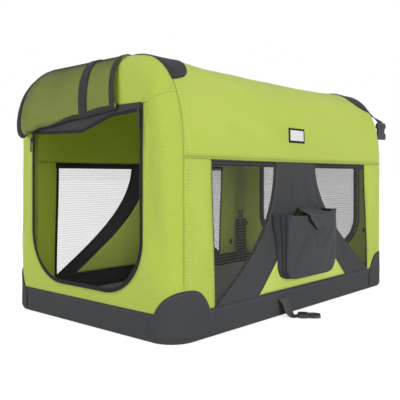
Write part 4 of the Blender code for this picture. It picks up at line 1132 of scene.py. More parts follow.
webbing_tape = cloth_material("charcoal_webbing", WEBBING_COLOUR, 0.0016, slub=0.06, raised=0.0003)
black_net = net_material("black_mesh", NET_COLOUR)
for end, sx in ENDS:
    for side, sy in SIDES:

        def to_world(a, b):
            return (a, sy * (side_y(a, b) - CLOTH / 2), b)

        low_x, high_x = sorted((sx * CENTRE_HALF, sx * WINDOW_X))
        corners = ((low_x, BAND), (high_x, WINDOW_TOP))
        net, cut = knitted(f"window_net_{end}_{side}", *corners, NET_PITCH, in_window, to_world)
        sewn_on(net, "black_mesh", f"window_{end}_{side}")
        top = WINDOW_TOP - 0.005
        curve = [(x + TAPE_WIDE / 3, z) for x, z in WINDOW_EDGE]
        across_top = [(x, top) for x in steps(CENTRE_HALF - 0.004, WINDOW_X + 0.004, 24)]
        upright = [(WINDOW_X, z) for z in steps(BAND + 0.004, WINDOW_TOP - 0.004, 40)]
        tapes = []
        for label, line, inwards, behind, across, wide in (
            ("tape", curve, 0.0, 0.0006, (1.0, 0.0, 0.0), TAPE_WIDE),
            ("top_tape", across_top, 0.0, 0.0012, (0.0, 0.0, 1.0), TOP_TAPE_WIDE),
            ("side_tape", upright, 0.001, 0.0006, (1.0, 0.0, 0.0), TAPE_WIDE),
        ):
            border = []
            for x, z in line:
                border.append((sx * (x - inwards), sy * (side_y(x, z) - CLOTH - behind), z))
            name = f"window_{label}_{end}_{side}"
            tapes.append(ribbon(name, border, across, wide, webbing_tape))
            sewn_on(tapes[-1], "charcoal_webbing")


# The roof: one piece of green oxford over both shoulders, from window line to window line, pulled
# tight between the hoops. Soft folds run down from the hoops' shoulders.
ROOF_FOLDS = (
    ((-0.35, -0.185, 0.45), (-0.02, -0.222, 0.36), 0.026, 0.0060),
    ((-0.36, -0.215, 0.39), (-0.10, -0.228, 0.33), 0.020, 0.0040),
    ((-0.34, -0.140, 0.49), (-0.12, -0.200, 0.42), 0.020, -0.0040),
    ((0.35, -0.190, 0.44), (0.10, -0.222, 0.35), 0.024, 0.0050),
    ((0.36, -0.140, 0.48), (0.16, -0.198, 0.43), 0.020, -0.0036),
    ((-0.34, 0.06, 0.50), (0.02, -0.04, 0.50), 0.040, 0.0030),
    ((0.34, 0.08, 0.50), (0.06, 0.00, 0.50), 0.034, 0.0026),
    ((-0.35, 0.185, 0.45), (-0.02, 0.222, 0.36), 0.026, 0.0055),
    ((0.35, 0.190, 0.44), (0.10, 0.222, 0.35), 0.024, 0.0050),
)
ROOF_WAVE = 0.0018
ROOF_RIPPLE = 0.0006
ROOF_PUCKER = 0.0009
ROOF_FOOT = station_at(WINDOW_TOP + SEAM_GAP)


def roof_wave(point, station):
    """How far the roof's cloth stands off its plain skin."""
    edge = max(min((SEAM_X - abs(point.x)) / 0.05, (ROOF_FOOT - abs(station)) / 0.15, 1.0), 0.0)
    out = ROOF_WAVE * soft_noise(*point, 7.0) + ROOF_RIPPLE * soft_noise(*point, 23.0)
    for fold_start, fold_end, wide, deep in ROOF_FOLDS:
        out -= crease(point, fold_start, fold_end, wide, deep)
    gathers = pucker(point.y + point.z, SEAM_X - abs(point.x), ROOF_PUCKER)
    return edge * out + min(edge * 6, 1.0) * gathers


def roof_at(x, station, lift=0.0):
    """A point of the roof's cloth, lifted off it by this much."""
    point = skin(x, station)
    return point + outwards(x, station) * (roof_wave(point, station) + lift)


xs = steps(SEAM_GAP - SEAM_X, SEAM_X - SEAM_GAP, 96)
stations = steps(-ROOF_FOOT, ROOF_FOOT, 96)
grid = [[roof_at(x, station, -0.0003) for station in stations] for x in xs]
threads = (xs, lengths_along([skin(0.0, station) for station in stations]))
mesh = cloth_mesh("roof_cloth", grid, threads, BODY_MIDDLE)
roof = cloth(mesh, oxford_lime, WALL_CLOTH)
sewn_on(roof, "lime_oxford", "roof_panel")


# The two ends: green oxford round both corners and over the top edge to the hoop's seam, with a
# U-shaped door opening. A line of sewing crosses at the door's top, where the header joins.
DOOR_HALF = 0.167
DOOR_BOTTOM = 0.072
DOOR_RADIUS = 0.100
PANEL_COLUMNS = 56
HEM_IN = 0.0016
FOOT_IN = 0.0018
END_FOLDS = (
    ((0.0, -0.206, 0.10), (0.0, -0.188, 0.39), 0.010, 0.0042),
    ((0.0, 0.204, 0.12), (0.0, 0.190, 0.37), 0.010, 0.0036),
    ((0.0, -0.180, 0.09), (0.0, -0.176, 0.36), 0.006, -0.0018),
    ((0.0, -0.150, 0.43), (0.0, -0.195, 0.36), 0.012, 0.0030),
)
TAUT_BY_ZIP = 0.2


def door_outline(inset=0.0, corner_steps=24, side_steps=14, top_steps=20, closed=False):
    """The U of a door opening, as (y, z) points from its top right down and up to its top left."""
    radius = DOOR_RADIUS - inset
    cy = DOOR_HALF - DOOR_RADIUS
    cz = DOOR_BOTTOM + DOOR_RADIUS
    half = DOOR_HALF - inset
    points = [(-half, z) for z in steps(DOOR_TOP - inset * closed, cz, side_steps)[:-1]]
    turn = steps(pi, 1.5 * pi, corner_steps)
    points += [(-cy + radius * cos(a), cz + radius * sin(a)) for a in turn]
    points += [(y, cz - radius) for y in steps(-cy, cy, 12)[1:-1]]
    turn = steps(1.5 * pi, 2.0 * pi, corner_steps)
    points += [(cy + radius * cos(a), cz + radius * sin(a)) for a in turn]
    points += [(half, z) for z in steps(cz, DOOR_TOP - inset * closed, side_steps)[1:]]
    if closed:
        points += [(y, DOOR_TOP - inset) for y in steps(half, -half, top_steps)[1:-1]]
    return points


def in_door(y, z, inset=0.0):
    """Whether a point of an end's face lies in the door opening."""
    half, radius = DOOR_HALF - inset, DOOR_RADIUS - inset
    low = DOOR_BOTTOM + inset
    if abs(y) >= half or not low < z < DOOR_TOP - inset:
        return False
    beside, below = abs(y) - (half - radius), low + radius - z
    return beside <= 0 or below <= 0 or hypot(beside, below) < radius


def onto_door(y, z):
    """The nearest point of the door's outline."""
    points = door_outline(closed=True)
    best, found = 1e9, (y, z)
    for (ya, za), (yb, zb) in zip(points, points[1:] + points[:1]):
        dy, dz = yb - ya, zb - za
        share = min(max(((y - ya) * dy + (z - za) * dz) / max(dy * dy + dz * dz, 1e-12), 0.0), 1.0)
        py, pz = ya + dy * share, za + dz * share
        off = hypot(py - y, pz - z)
        if off < best:
            best, found = off, (py, pz)
    return found, best


def flat_half(z):
    """Half the width of an end's flat face at this height, and the station of its edge."""
    reach = CORNER_RADIUS
    if z <= SHOULDER_Z:
        return SIDE_Y - reach, 3.0 - (z - BAND) / (SHOULDER_Z - BAND)
    up = SHOULDER_HIGH - END_ROUNDING
    across = SHOULDER_ACROSS - reach
    angle = squared_angle((z - SHOULDER_Z) / up)
    return SHOULDER_Y + across * squared(angle)[0], 2.0 - angle / (pi / 2)


def end_bend(x, y, z, sx):
    """Unevenness of an end's cloth: soft upright folds beside the door and a hanging top edge."""
    edge = min(1.0, (z - BAND) / 0.03)
    beside = smooth_step((abs(y) - DOOR_HALF + 0.01) / 0.03)
    above = smooth_step((z - PATCH_REACH) / 0.04)
    out = (0.0022 + 0.0010 * above) * edge * beside * soft_noise(y * 2.4, 4.0 * sx, z * 0.8, 13.0)
    out += (0.0012 + 0.0006 * above) * edge * soft_noise(y, 7.0 * sx, z, 7.0)
    for fold_start, fold_end, wide, deep in END_FOLDS:
        out -= edge * crease((0.0, y, z), fold_start, fold_end, wide, deep)
    return out * (TAUT_BY_ZIP if in_door(y, z, -0.006) else 1.0)


def on_end(point, sx, lift=0.0, facing=(0.0, 0.0, 0.0)):
    """A point of an end's plain skin, moved as its cloth is and lifted off it the way it faces."""
    x, y, z = point
    out = end_bend(x, y, z, sx) * smooth_step((abs(x) - SEAM_X) / SEAM_BACK)
    away = Vector((sx * 0.4, y * 2.0, (z - 0.25) * 1.2)).normalized()
    moved = Vector((x + sx * out, y, z)) - away * 0.0002 + Vector(facing) * lift
    if sx < 0:
        moved.z -= front_droop(*moved)
    return moved


for end, sx in ENDS:
    top_z = SHOULDER_Z + SHOULDER_HIGH - END_ROUNDING
    heights = [BAND - SEAM_UNDER] + steps(BAND + SEAM_GAP, DOOR_TOP, 48)
    heights += steps(DOOR_TOP, top_z, 12)[1:]
    shares = [s / PANEL_COLUMNS for s in range(-PANEL_COLUMNS, PANEL_COLUMNS + 1, 2)]
    bm = bmesh.new()
    layer = bm.loops.layers.uv.new("threads")
    flat = []
    for z in heights:
        half, _ = flat_half(z)
        flat.append([bm.verts.new((sx * END_X, share * half, z)) for share in shares])
    for below, above in zip(flat, flat[1:]):
        for j in range(len(shares) - 1):
            corners = (below[j], below[j + 1], above[j + 1], above[j])
            y = sum(v.co.y for v in corners) / 4
            z = sum(v.co.z for v in corners) / 4
            if not in_door(y, z):
                bm.faces.new(corners)
    for v in [v for v in bm.verts if not v.link_faces]:
        bm.verts.remove(v)
    for v in [v for v in bm.verts if v.is_valid and v.is_boundary]:
        (y, z), off = onto_door(v.co.y, v.co.z)
        if off < 0.011 and v.co.z > DOOR_BOTTOM - 0.011:
            v.co.y, v.co.z = y, z
    flat_edge = [row[0] for row in flat] + flat[-1][1:-1] + [row[-1] for row in reversed(flat)]
    edge_stations = [-flat_half(z)[1] for z in heights] + shares[1:-1]
    edge_stations += [flat_half(z)[1] for z in reversed(heights)]
    reaches = [CORNER_RADIUS * (1 - cos(a)) for a in steps(0.0, pi / 2, 18)]
    reaches = [r for r in reaches if 0.0002 < r < SEAM_BACK - 0.002]
    reaches += [SEAM_BACK - SEAM_GAP, SEAM_BACK + SEAM_UNDER]
    ring = flat_edge
    for reach in reaches:
        x = sx * (END_X - reach)
        hidden = -HEM_IN if reach > SEAM_BACK else 0.0
        outer = [bm.verts.new(skin(x, s) + outwards(x, s) * hidden) for s in edge_stations]
        for j in range(len(ring) - 1):
            if ring[j].is_valid and ring[j + 1].is_valid:
                bm.faces.new((ring[j], ring[j + 1], outer[j + 1], outer[j]))
        ring = outer
    bm.normal_update()
    for v in bm.verts:
        x, y, z = v.co
        v.co = on_end(v.co, sx)
        if z < BAND:
            core = SIDE_Y - CORNER_RADIUS
            turn = Vector((x - sx * (END_X - CORNER_RADIUS), y - max(min(y, core), -core), 0.0))
            v.co -= turn.normalized() * FOOT_IN
    for face in bm.faces:
        for loop in face.loops:
            co = loop.vert.co
            wrap = END_X - abs(co.x)
            loop[layer].uv = (co.y + (1 if co.y > 0 else -1) * wrap, co.z)
    bmesh.ops.recalc_face_normals(bm, faces=bm.faces)
    mesh = facing_out(mesh_of(bm, f"{end}_panel_cloth"), BODY_MIDDLE)
    panel = cloth(mesh, oxford_lime, WALL_CLOTH)
    sewn_on(panel, "lime_oxford", f"{end}_panel")
    wide, tall = 2 * (SIDE_Y + SEAM_BACK), ROOF_Z + SEAM_BACK - BAND


# The zips: coarse nylon coil on dark tape round each U-shaped opening, sewn to the end panel, with
# the panel's raw edge bound in beside it. Coil sliders in dark zinc run on them.
ZIP_TAPE = 0.006
ZIP_TAPE_THICK = 0.0012
TAPE_SECTION = ((-0.0012, 0.0006), (0.0008, 0.0016), (0.0030, 0.0010), (0.0056, 0.0004))
TOOTH = (0.0022, 0.0012, 0.0030)
DOOR_STITCH = (0.0045, 0.0032, 0.0009)

# A row of sewing or of teeth: long beads at even places along a line, each turned to follow it.
row_tree, given, result = node_group(
    "row of stitches",
    "Geometry",
    [
        ("Geometry", "Geometry", None),
        ("Pitch", "Float", 0.004),
        ("Length", "Float", 0.003),
        ("Width", "Float", 0.0006),
        ("Yarn", "Material", None),
    ],
    [("Geometry", "Geometry")],
)
line = tree_node(row_tree, "GeometryNodeMeshToCurve", {"Mesh": given["Geometry"]})
spaced = tree_node(
    row_tree,
    "GeometryNodeResampleCurve",
    {"Curve": line.outputs[0], "Length": given["Pitch"]},
    mode="LENGTH",
)
bead = tree_node(row_tree, "GeometryNodeMeshIcoSphere", {"Radius": 0.5, "Subdivisions": 1})
along = tree_node(row_tree, "GeometryNodeInputTangent").outputs[0]
turned = tree_node(row_tree, "FunctionNodeAlignRotationToVector", {"Vector": along}, axis="X")
across = given["Width"]
sized = shader_node(row_tree, "CombineXYZ", {"X": given["Length"], "Y": across, "Z": across})
placed = tree_node(
    row_tree,
    "GeometryNodeInstanceOnPoints",
    {
        "Points": spaced.outputs[0],
        "Instance": bead.outputs[0],
        "Rotation": turned.outputs[0],
        "Scale": sized.outputs[0],
    },
)
realized(row_tree, placed.outputs[0], given["Yarn"], result)


def line_mesh(name, lines):
    """The lines of points as a mesh of edges."""
    vertices, edges = [], []
    for points in lines:
        first = len(vertices)
        vertices += [tuple(p) for p in points]
        edges += [(n, n + 1) for n in range(first, len(vertices) - 1)]
    mesh = bpy.data.meshes.new(name)
    mesh.from_pydata(vertices, edges, [])
    return mesh


def sewing(name, lines, yarn, pitch, length, width):
    """Rows of stitches along lines of points."""
    values = {"Pitch": pitch, "Length": length, "Width": width, "Yarn": yarn}
    return piece_of(name, grown(name, line_mesh(name, lines), row_tree, values))


def thread_material(name, colour):
    """Twisted sewing thread."""
    made, tree, shader = new_material(name)
    wave = {"Vector": object_coordinates(tree), "Scale": 900.0, "Distortion": 3.0}
    strands = shader_node(tree, "TexWave", wave).outputs["Fac"]
    look = {
        "Base Color": blended(tree, strands, opaque(colour, 0.7), opaque(colour, 1.2)),
        "Roughness": spread(tree, strands, 0.5, 0.8),
    }
    feed(shader, look)
    return made


lime_thread = thread_material("lime_thread", (0.62, 0.74, 0.30))
deep_thread = thread_material("deep_thread", (0.17, 0.24, 0.035))
tape_cloth = cloth_material("zip_tape", (0.020, 0.020, 0.022), 0.0007, slub=0.05, raised=0.00012)
for end, sx in ENDS:
    grid = []
    for inset, out in TAPE_SECTION:
        grid.append([(sx * (END_X + out), y, z) for y, z in door_outline(inset)])
    threads = ([0.0, 0.002, 0.004, 0.007], lengths_along([(0.0, *p) for p in door_outline()]))
    mesh = cloth_mesh(f"{end}_zip_tape", grid, threads, BODY_MIDDLE)
    sewn_on(cloth(mesh, tape_cloth, ZIP_TAPE_THICK), "charcoal_webbing", f"{end}_zip_track")
    rows = [[(sx * (END_X + 0.0008), y, z) for y, z in door_outline(ZIP_TAPE)]]
    sewn_on(sewing(f"{end}_zip_teeth", rows, black_nylon, *TOOTH), "black_plastic")
    rows = [[(sx * (END_X + 0.0002), y, z) for y, z in door_outline(-0.0040)]]
    sewn_on(sewing(f"{end}_door_stitches", rows, deep_thread, *DOOR_STITCH), "lime_oxford")


def slabs(name, parts, finish):
    """Moulded plates with rounded edges, as one piece. Each part is an outline of (a, b) points,
    its low and high faces, its edges' rounding, and place(a, b, up), which puts it in place."""
    bm = bmesh.new()
    for outline, low, high, rounding, place in parts:
        part = bmesh.new()
        flat = [part.verts.new((a, b, low)) for a, b in outline]
        drawn = bmesh.ops.extrude_face_region(part, geom=[part.faces.new(flat)])
        moved = [v for v in drawn["geom"] if isinstance(v, bmesh.types.BMVert)]
        bmesh.ops.translate(part, verts=moved, vec=(0.0, 0.0, high - low))
        sharp = [e for e in part.edges if len(e.link_faces) == 2 and e.calc_face_angle() > 0.9]
        round_edges(part, sharp, rounding)
        for v in part.verts:
            v.co = place(*v.co)
        bmesh.ops.recalc_face_normals(part, faces=part.faces)
        held = mesh_of(part, "part")
        bm.from_mesh(held)
        bpy.data.meshes.remove(held)
    obj = put(name, mesh_of(bm, name), finish)
    obj.data.set_sharp_from_angle(angle=radians(50.0))
    return obj


def bar(points, half_widths):
    """The outline of a bar along a line of (a, b) points, this wide to each side."""
    left, right = [], []
    for n, (a, b) in enumerate(points):
        before, after = points[max(n - 1, 0)], points[min(n + 1, len(points) - 1)]
        da, db = after[0] - before[0], after[1] - before[1]
        size = hypot(da, db)
        half = half_widths[n]
        left.append((a - db / size * half, b + da / size * half))
        right.append((a + db / size * half, b - da / size * half))
    return left + right[::-1]


SLIDER_PLATE = [
    (-0.0040, 0.0055), (-0.0012, 0.0055), (0.0, 0.0040), (0.0012, 0.0055), (0.0040, 0.0055),
    (0.0040, 0.0015), (0.0031, -0.0030), (0.0024, -0.0055), (-0.0024, -0.0055), (-0.0031, -0.0030),
    (-0.0040, 0.0015),
]
SLIDER_ARCH = [
    (-0.0035, 0.0020), (-0.0027, 0.0036), (0.0, 0.0043), (0.0027, 0.0036), (0.0035, 0.0020),
]
SLIDER_BRIDGE = bar(SLIDER_ARCH, [0.0006] * 5)
SLIDER_THICK = 0.0026
SLIDER_EDGE = 0.0006
BRIDGE_HALF = 0.0009
BRIDGE_EDGE = 0.0003
PULL_HALF = 0.0007
PULL_EDGE = 0.0004
REAR_PULL = (0.0042, 0.0056)


def pull_outline(length):
    """A zip pull that hangs down from its eye."""
    line = [(0.0, z) for z in (0.0018, 0.0, -0.004, -0.0075, 0.003 - length, -length)]
    return bar(line, [0.0014, 0.0024, 0.0023, 0.0015, 0.0021, 0.0013])


def slider_parts(plate_place, bridge_place):
    """A slider's plate, and the bridge over it that its pull hangs on."""
    return [
        (SLIDER_PLATE, 0.0, SLIDER_THICK, SLIDER_EDGE, plate_place),
        (SLIDER_BRIDGE, -BRIDGE_HALF, BRIDGE_HALF, BRIDGE_EDGE, bridge_place),
    ]


for side, sy in SIDES:
    name = f"front_zip_slider_{side}"
    low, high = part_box(name)
    y, z = (low.y + high.y) / 2, (low.z + high.z) / 2
    parts = slider_parts(
        lambda a, b, up: (high.x - up, y + a, z + b),
        lambda a, b, up: (high.x - b, y + up, z + a),
    )
    slider = slabs(f"{name}_body", parts, dark_zinc)
    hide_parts(name)
    sewn_on(slider, "dark_zinc", body=f"slider_front_{side}")
    name = f"front_zip_pull_{side}"
    low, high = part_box(name)
    x = (low.x + high.x) / 2
    drop = pull_outline(high.z - 0.0007 - low.z)
    tab = (drop, -PULL_HALF, PULL_HALF, PULL_EDGE, lambda a, b, up: (x - up, y + a, z + b))
    pull = slabs(f"{name}_tab", [tab], dark_zinc)
    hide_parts(name)
    sewn_on(pull, "dark_zinc", body=f"pull_front_{side}")
    name = f"rear_zip_slider_{side}"
    low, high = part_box(name)
    y, z, back = (low.y + high.y) / 2, DOOR_BOTTOM + ZIP_TAPE / 2, low.x
    parts = slider_parts(
        lambda a, b, up: (back + up, y - sy * b, z + a),
        lambda a, b, up: (back + b, y + a, z + up),
    )
    drop = pull_outline(z - low.z)
    parts.append((drop, *REAR_PULL, PULL_EDGE, lambda a, b, up: (back + up, y + a, z + b)))
    slider = slabs(f"{name}_body", parts, dark_zinc)
    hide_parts(name)
    sewn_on(slider, "dark_zinc", body=f"slider_rear_{side}")


# The rear door: a knitted black net like the windows', bound all round with dark tape. It is
# zipped shut, so its binding lies along the coil.
DOOR_NET_PITCH = 0.0034
BINDING_CLOTH = 0.0016
BINDING_INSETS = (ZIP_TAPE, ZIP_TAPE + 0.003, ZIP_TAPE + 0.007, ZIP_TAPE + 0.011)


def holds_rear(a, b):
    """Whether the rear door's net has a cell here."""
    return in_door(a, b, ZIP_TAPE + 0.002)


def rear_world(a, b):
    """This place of the rear door's flat net, in the scene."""
    return (END_X - 0.0012, a, b)


corners = ((-DOOR_HALF, DOOR_BOTTOM), (DOOR_HALF, DOOR_TOP))
net, cut = knitted("rear_door_net", *corners, DOOR_NET_PITCH, holds_rear, rear_world)
sewn_on(net, "black_mesh", "rear_door")
grid = []
for inset in BINDING_INSETS:
    grid.append([(END_X - 0.0002, y, z) for y, z in door_outline(inset, closed=True)])
around = lengths_along([(0.0, *p) for p in door_outline(0.0, closed=True)] + [(0, 0, 0)])
threads = (steps(0.0, 0.011, 3), around)
mesh = cloth_mesh("rear_door_binding", grid, threads, BODY_MIDDLE, close=True)
binding = cloth(mesh, webbing_tape, BINDING_CLOTH)
sewn_on(binding, "charcoal_webbing")
wide, tall = 2 * DOOR_HALF, DOOR_TOP - DOOR_BOTTOM


# The front door: net bound in dark tape, unzipped and flipped up over the front edge. A lime
# lining lies under the net. A webbing strap goes round it and holds it up.
ROLL_RIGHT, ROLL_LEFT = (corner.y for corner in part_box("front_door_roll"))
ROLL_LOW = ((-0.106, 0.401), (0.0, 0.392), (0.12, 0.380), (0.160, 0.372), (0.185, 0.363))
ROLL_BULGE_RIGHT = 0.008
ROLL_BULGE_LEFT = 0.020
ROLL_BELLY = 0.024
ROLL_FOLD = ((0.92, 0.38), (0.66, 0.08), (0.36, 0.0), (0.08, 0.42))
ROLL_ABOVE = 0.0012
ROLL_FRONT = END_X + 0.0040
ROLL_STRAP_Y = -0.022
ROLL_STRAP_HALF = 0.0105
ROLL_LINE = 72
ROLL_BINDING = 0.011
ROLL_RIPPLE = 0.0011
ROLL_LINING_LAYER = (-0.0008, 0.0010)
ROLL_BINDING_LAYER = (0.0010, 0.0018)
ROLL_STRAP_LAYER = (0.0020, 0.0014)
ROLL_HEART = (-SEAM_X + 0.02, 0.04, DOOR_TOP)


def shoulder_z(x, y):
    """The skin's height above this place on a shoulder or the roof."""
    across = shoulder_point(x, 0.0)[0] - SHOULDER_Y
    up = shoulder_point(x, pi / 2)[1] - SHOULDER_Z
    over = squared_angle((abs(y) - SHOULDER_Y) / across)
    return SHOULDER_Z + up * squared(pi / 2 - over)[1]


def smooth_path(points, between):
    """The same points with others put between them on a smooth curve."""
    found = []
    for n in range(len(points) - 1):
        p = [points[min(max(n + k, 0), len(points) - 1)] for k in (-1, 0, 1, 2)]
        for t in steps(0.0, 1.0, between + 1)[:-1]:
            weights = (
                -0.5 * t + t * t - 0.5 * t**3,
                1.0 - 2.5 * t * t + 1.5 * t**3,
                0.5 * t + 2.0 * t * t - 1.5 * t**3,
                -0.5 * t * t + 0.5 * t**3,
            )
            sums = [sum(w * q[a] for w, q in zip(weights, p)) for a in range(len(p[0]))]
            found.append(tuple(sums))
    return found + [points[-1]]


def between(table, at):
    """The value that a table of (place, value) pairs gives at a place."""
    for (pa, va), (pb, vb) in zip(table, table[1:]):
        if at <= pb:
            return va + (vb - va) * smooth_step((at - pa) / (pb - pa))
    return table[-1][1]


def evenly(points, count):
    """The same line as evenly spaced points."""
    along = lengths_along([(*p, 0.0) if len(p) == 2 else p for p in points])
    found, k = [], 0
    for wanted in steps(0.0, along[-1], count):
        while k < len(along) - 2 and along[k + 1] < wanted:
            k += 1
        share = (wanted - along[k]) / max(along[k + 1] - along[k], 1e-9)
        share = min(max(share, 0.0), 1.0)
        found.append(tuple(a + (b - a) * share for a, b in zip(points[k], points[k + 1])))
    return found


def roll_line(y):
    """The flipped door's middle line at y, as (x, z) points from the roof down to its root."""
    share = (y - ROLL_RIGHT) / (ROLL_LEFT - ROLL_RIGHT)
    bulge = ROLL_BULGE_RIGHT + (ROLL_BULGE_LEFT - ROLL_BULGE_RIGHT) * share
    low = between(ROLL_LOW, y)
    top = shoulder_z(-SEAM_X, y) + ROLL_ABOVE
    belly = low + ROLL_BELLY
    tight = 0.82 + 0.22 * share
    points = []
    for angle in steps(0.0, pi / 2, 9):
        out = (ROLL_FRONT + bulge - SEAM_X) * sin(angle) ** tight
        points.append((-SEAM_X - out, belly + (top - belly) * cos(angle) ** tight))
    points += [(-ROLL_FRONT - out * bulge, low + up * ROLL_BELLY) for out, up in ROLL_FOLD]
    points.append((-ROLL_FRONT + 0.0012, DOOR_TOP - 0.0003))
    return evenly(smooth_path(points, 5), ROLL_LINE)


ROLL_TABLE = {}


def roll_at(y, share, offset=0.0):
    """A point of the flipped door, lifted off its middle line by offset."""
    key = round(y, 5)
    if key not in ROLL_TABLE:
        ROLL_TABLE[key] = roll_line(y)
    points = ROLL_TABLE[key]
    place = min(max(share, 0.0), 1.0) * ROLL_LINE
    k = min(int(place), ROLL_LINE - 1)
    t = place - k
    (xa, za), (xb, zb) = points[k], points[k + 1]
    before, after = points[max(k - 1, 0)], points[min(k + 2, ROLL_LINE)]
    dx, dz = after[0] - before[0], after[1] - before[1]
    size = max(hypot(dx, dz), 1e-9)
    x, z = xa + (xb - xa) * t, za + (zb - za) * t
    ripple = ROLL_RIPPLE * soft_noise(y, share * 0.16, 2.0, 18.0) * sin(pi * share)
    offset = (offset + ripple) * min(1.0, 0.25 + share * 8.0)
    return Vector((x + offset * dz / size, y, z - offset * dx / size))


ROLL_LONG = lengths_along([(*p, 0.0) for p in roll_line(0.04)])[-1]


def roll_sheet(name, ys, shares, finish, offset, thickness):
    """A layer of the flipped door, over these places across it and shares of the way along it."""
    grid = [[roll_at(y, s, offset) for s in shares] for y in ys]
    mesh = cloth_mesh(name, grid, (ys, [s * ROLL_LONG for s in shares]), ROLL_HEART)
    return cloth(mesh, finish, thickness, 0.0)


ys = steps(ROLL_RIGHT + 0.002, ROLL_LEFT - 0.002, 40)
lengthwise = steps(0.01, 0.99, 72)
lining = roll_sheet("front_door_lining", ys, lengthwise, oxford_lime, *ROLL_LINING_LAYER)
sewn_on(lining, "lime_oxford")


def roll_world(a, b):
    """This place of the flipped door's flat net, in the scene."""
    return roll_at(round(a, 4), b / ROLL_LONG, 0.0003)


corners = ((ROLL_RIGHT + 0.006, 0.002), (ROLL_LEFT - 0.006, ROLL_LONG - 0.006))
net, cut = knitted(
    "front_door_net", *corners, NET_PITCH, lambda a, b: True, roll_world, ROLL_HEART
)
sewn_on(net, "black_mesh", "front_door_roll")
bands = []
for label, ys, shares in (
    ("right", steps(ROLL_RIGHT - 0.0005, ROLL_RIGHT + ROLL_BINDING, 4), steps(0.0, 1.0, 72)),
    ("left", steps(ROLL_LEFT - ROLL_BINDING, ROLL_LEFT, 4), steps(0.0, 1.0, 72)),
    ("top", steps(ROLL_RIGHT, ROLL_LEFT, 60), steps(0.0, 0.035, 4)),
    ("lip", steps(ROLL_RIGHT, ROLL_LEFT, 60), steps(0.83, 0.995, 12)),
):
    name = f"front_door_binding_{label}"
    bands.append(roll_sheet(name, ys, shares, webbing_tape, *ROLL_BINDING_LAYER))
    sewn_on(bands[-1], "charcoal_webbing")
ys = steps(ROLL_STRAP_Y - ROLL_STRAP_HALF, ROLL_STRAP_Y + ROLL_STRAP_HALF, 6)
lengthwise = steps(0.0, 1.0, 72)
strap = roll_sheet("roll_strap_webbing", ys, lengthwise, webbing_tape, *ROLL_STRAP_LAYER)
sewn_on(strap, "charcoal_webbing", "roll_strap")


# The header strip: charcoal oxford that hangs behind the flipped door along the opening's top,
# from one zip's end to the other's, and carries the door's own end of the zip.
HEADER_LOW = (
    (-0.1640, 0.3965), (-0.100, 0.392), (0.006, 0.367), (0.10, 0.369), (0.1630, 0.3720),
)
HEADER_TOP = DOOR_TOP + 0.001
HEADER_CLOTH = 0.0014
HEADER_OUT = 0.0008
HEADER_LOOSE = 0.0030
HEADER_HEM = 0.006
HEADER_HEM_THICK = 0.0024
ys = steps(-DOOR_HALF + 0.003, DOOR_HALF - 0.003, 60)
grid = []
for y in ys:
    low = between(HEADER_LOW, y)
    waves = 1.0 + soft_noise(y, 2.0, 0.0, 20.0)
    column = []
    for share in steps(0.0, 1.0, 8):
        out = HEADER_OUT + HEADER_LOOSE * share * waves * (1.0 - abs(y) / DOOR_HALF)
        column.append((-END_X - out, y, HEADER_TOP + (low - HEADER_TOP) * share))
    grid.append(column)
mesh = cloth_mesh("front_header", grid, (ys, steps(0.0, 0.04, 8)), BODY_MIDDLE)
header = cloth(mesh, oxford_charcoal, HEADER_CLOTH)
sewn_on(header, "charcoal_oxford")
edge = [column[-1] for column in grid]
upright = (0.0, 0.0, 1.0)
hem = ribbon("front_header_hem", edge, upright, HEADER_HEM, tape_cloth, HEADER_HEM_THICK)
sewn_on(hem, "charcoal_webbing")


# The corner patches: charcoal oxford sewn over the cloth where the corners wear. The lower ones
# stand domed round each bottom corner, and the upper ones cover the hoops' shoulders.
LOW_PATCH_Z = 0.008
LOW_DOME_CENTRE = (END_X - 0.045, SIDE_Y - 0.0216)
LOW_DOME_RADII = (0.062, 0.0504, 0.0986)
TOP_DOME_CENTRE = (SEAM_X, SIDE_Y - 0.0825, ROOF_Z)
TOP_DOME_RADII = (0.070, 0.075, 0.07425)
PATCH_CLOTH = 0.0014
PATCH_OUT = 0.0016
PATCH_WAVE = 0.0006
TOP_PATCH_LIFT = 0.0015
PATCH_STITCH = (0.0042, 0.0030, 0.0008)
# The upper patches take a darker copy of the charcoal oxford: painted shade on their top faces.
SHADED_SHOULDER_CHARCOAL = (0.032, 0.033, 0.036)
shaded_oxford_shoulder = cloth_material("shoulder_oxford_painted_shade", SHADED_SHOULDER_CHARCOAL, OXFORD_PITCH, fading=0.06)
grey_thread = thread_material("grey_thread", (0.13, 0.135, 0.145))


def corner_path():
    """Round a corner in plan from the end's face to the side's, as (x, y) points."""
    cx, cy = END_X - CORNER_RADIUS, SIDE_Y - CORNER_RADIUS
    path = [(END_X, y) for y in steps(SIDE_Y - 0.098, cy, 16)[:-1]]
    turn = steps(0.0, pi / 2, 28)
    path += [(cx + CORNER_RADIUS * cos(a), cy + CORNER_RADIUS * sin(a)) for a in turn]
    return path + [(x, SIDE_Y) for x in steps(cx, END_X - 0.14, 30)[1:]]


def low_dome_top(x, y):
    """The height of the patch's edge at this place of the corner's plan, or 0 beyond it."""
    a = (x - LOW_DOME_CENTRE[0]) / LOW_DOME_RADII[0]
    b = (y - LOW_DOME_CENTRE[1]) / LOW_DOME_RADII[1]
    left = 1.0 - a * a - b * b
    return LOW_DOME_RADII[2] * sqrt(left) if left > 0 else 0.0


def in_top_dome(x, station):
    """Whether this place of the skin lies in an upper patch's dome."""
    shares = zip(skin(x, station), TOP_DOME_CENTRE, TOP_DOME_RADII)
    a, b, c = [(place - centre) / radius for place, centre, radius in shares]
    return a * a + b * b + c * c - 1.0 < 0.0


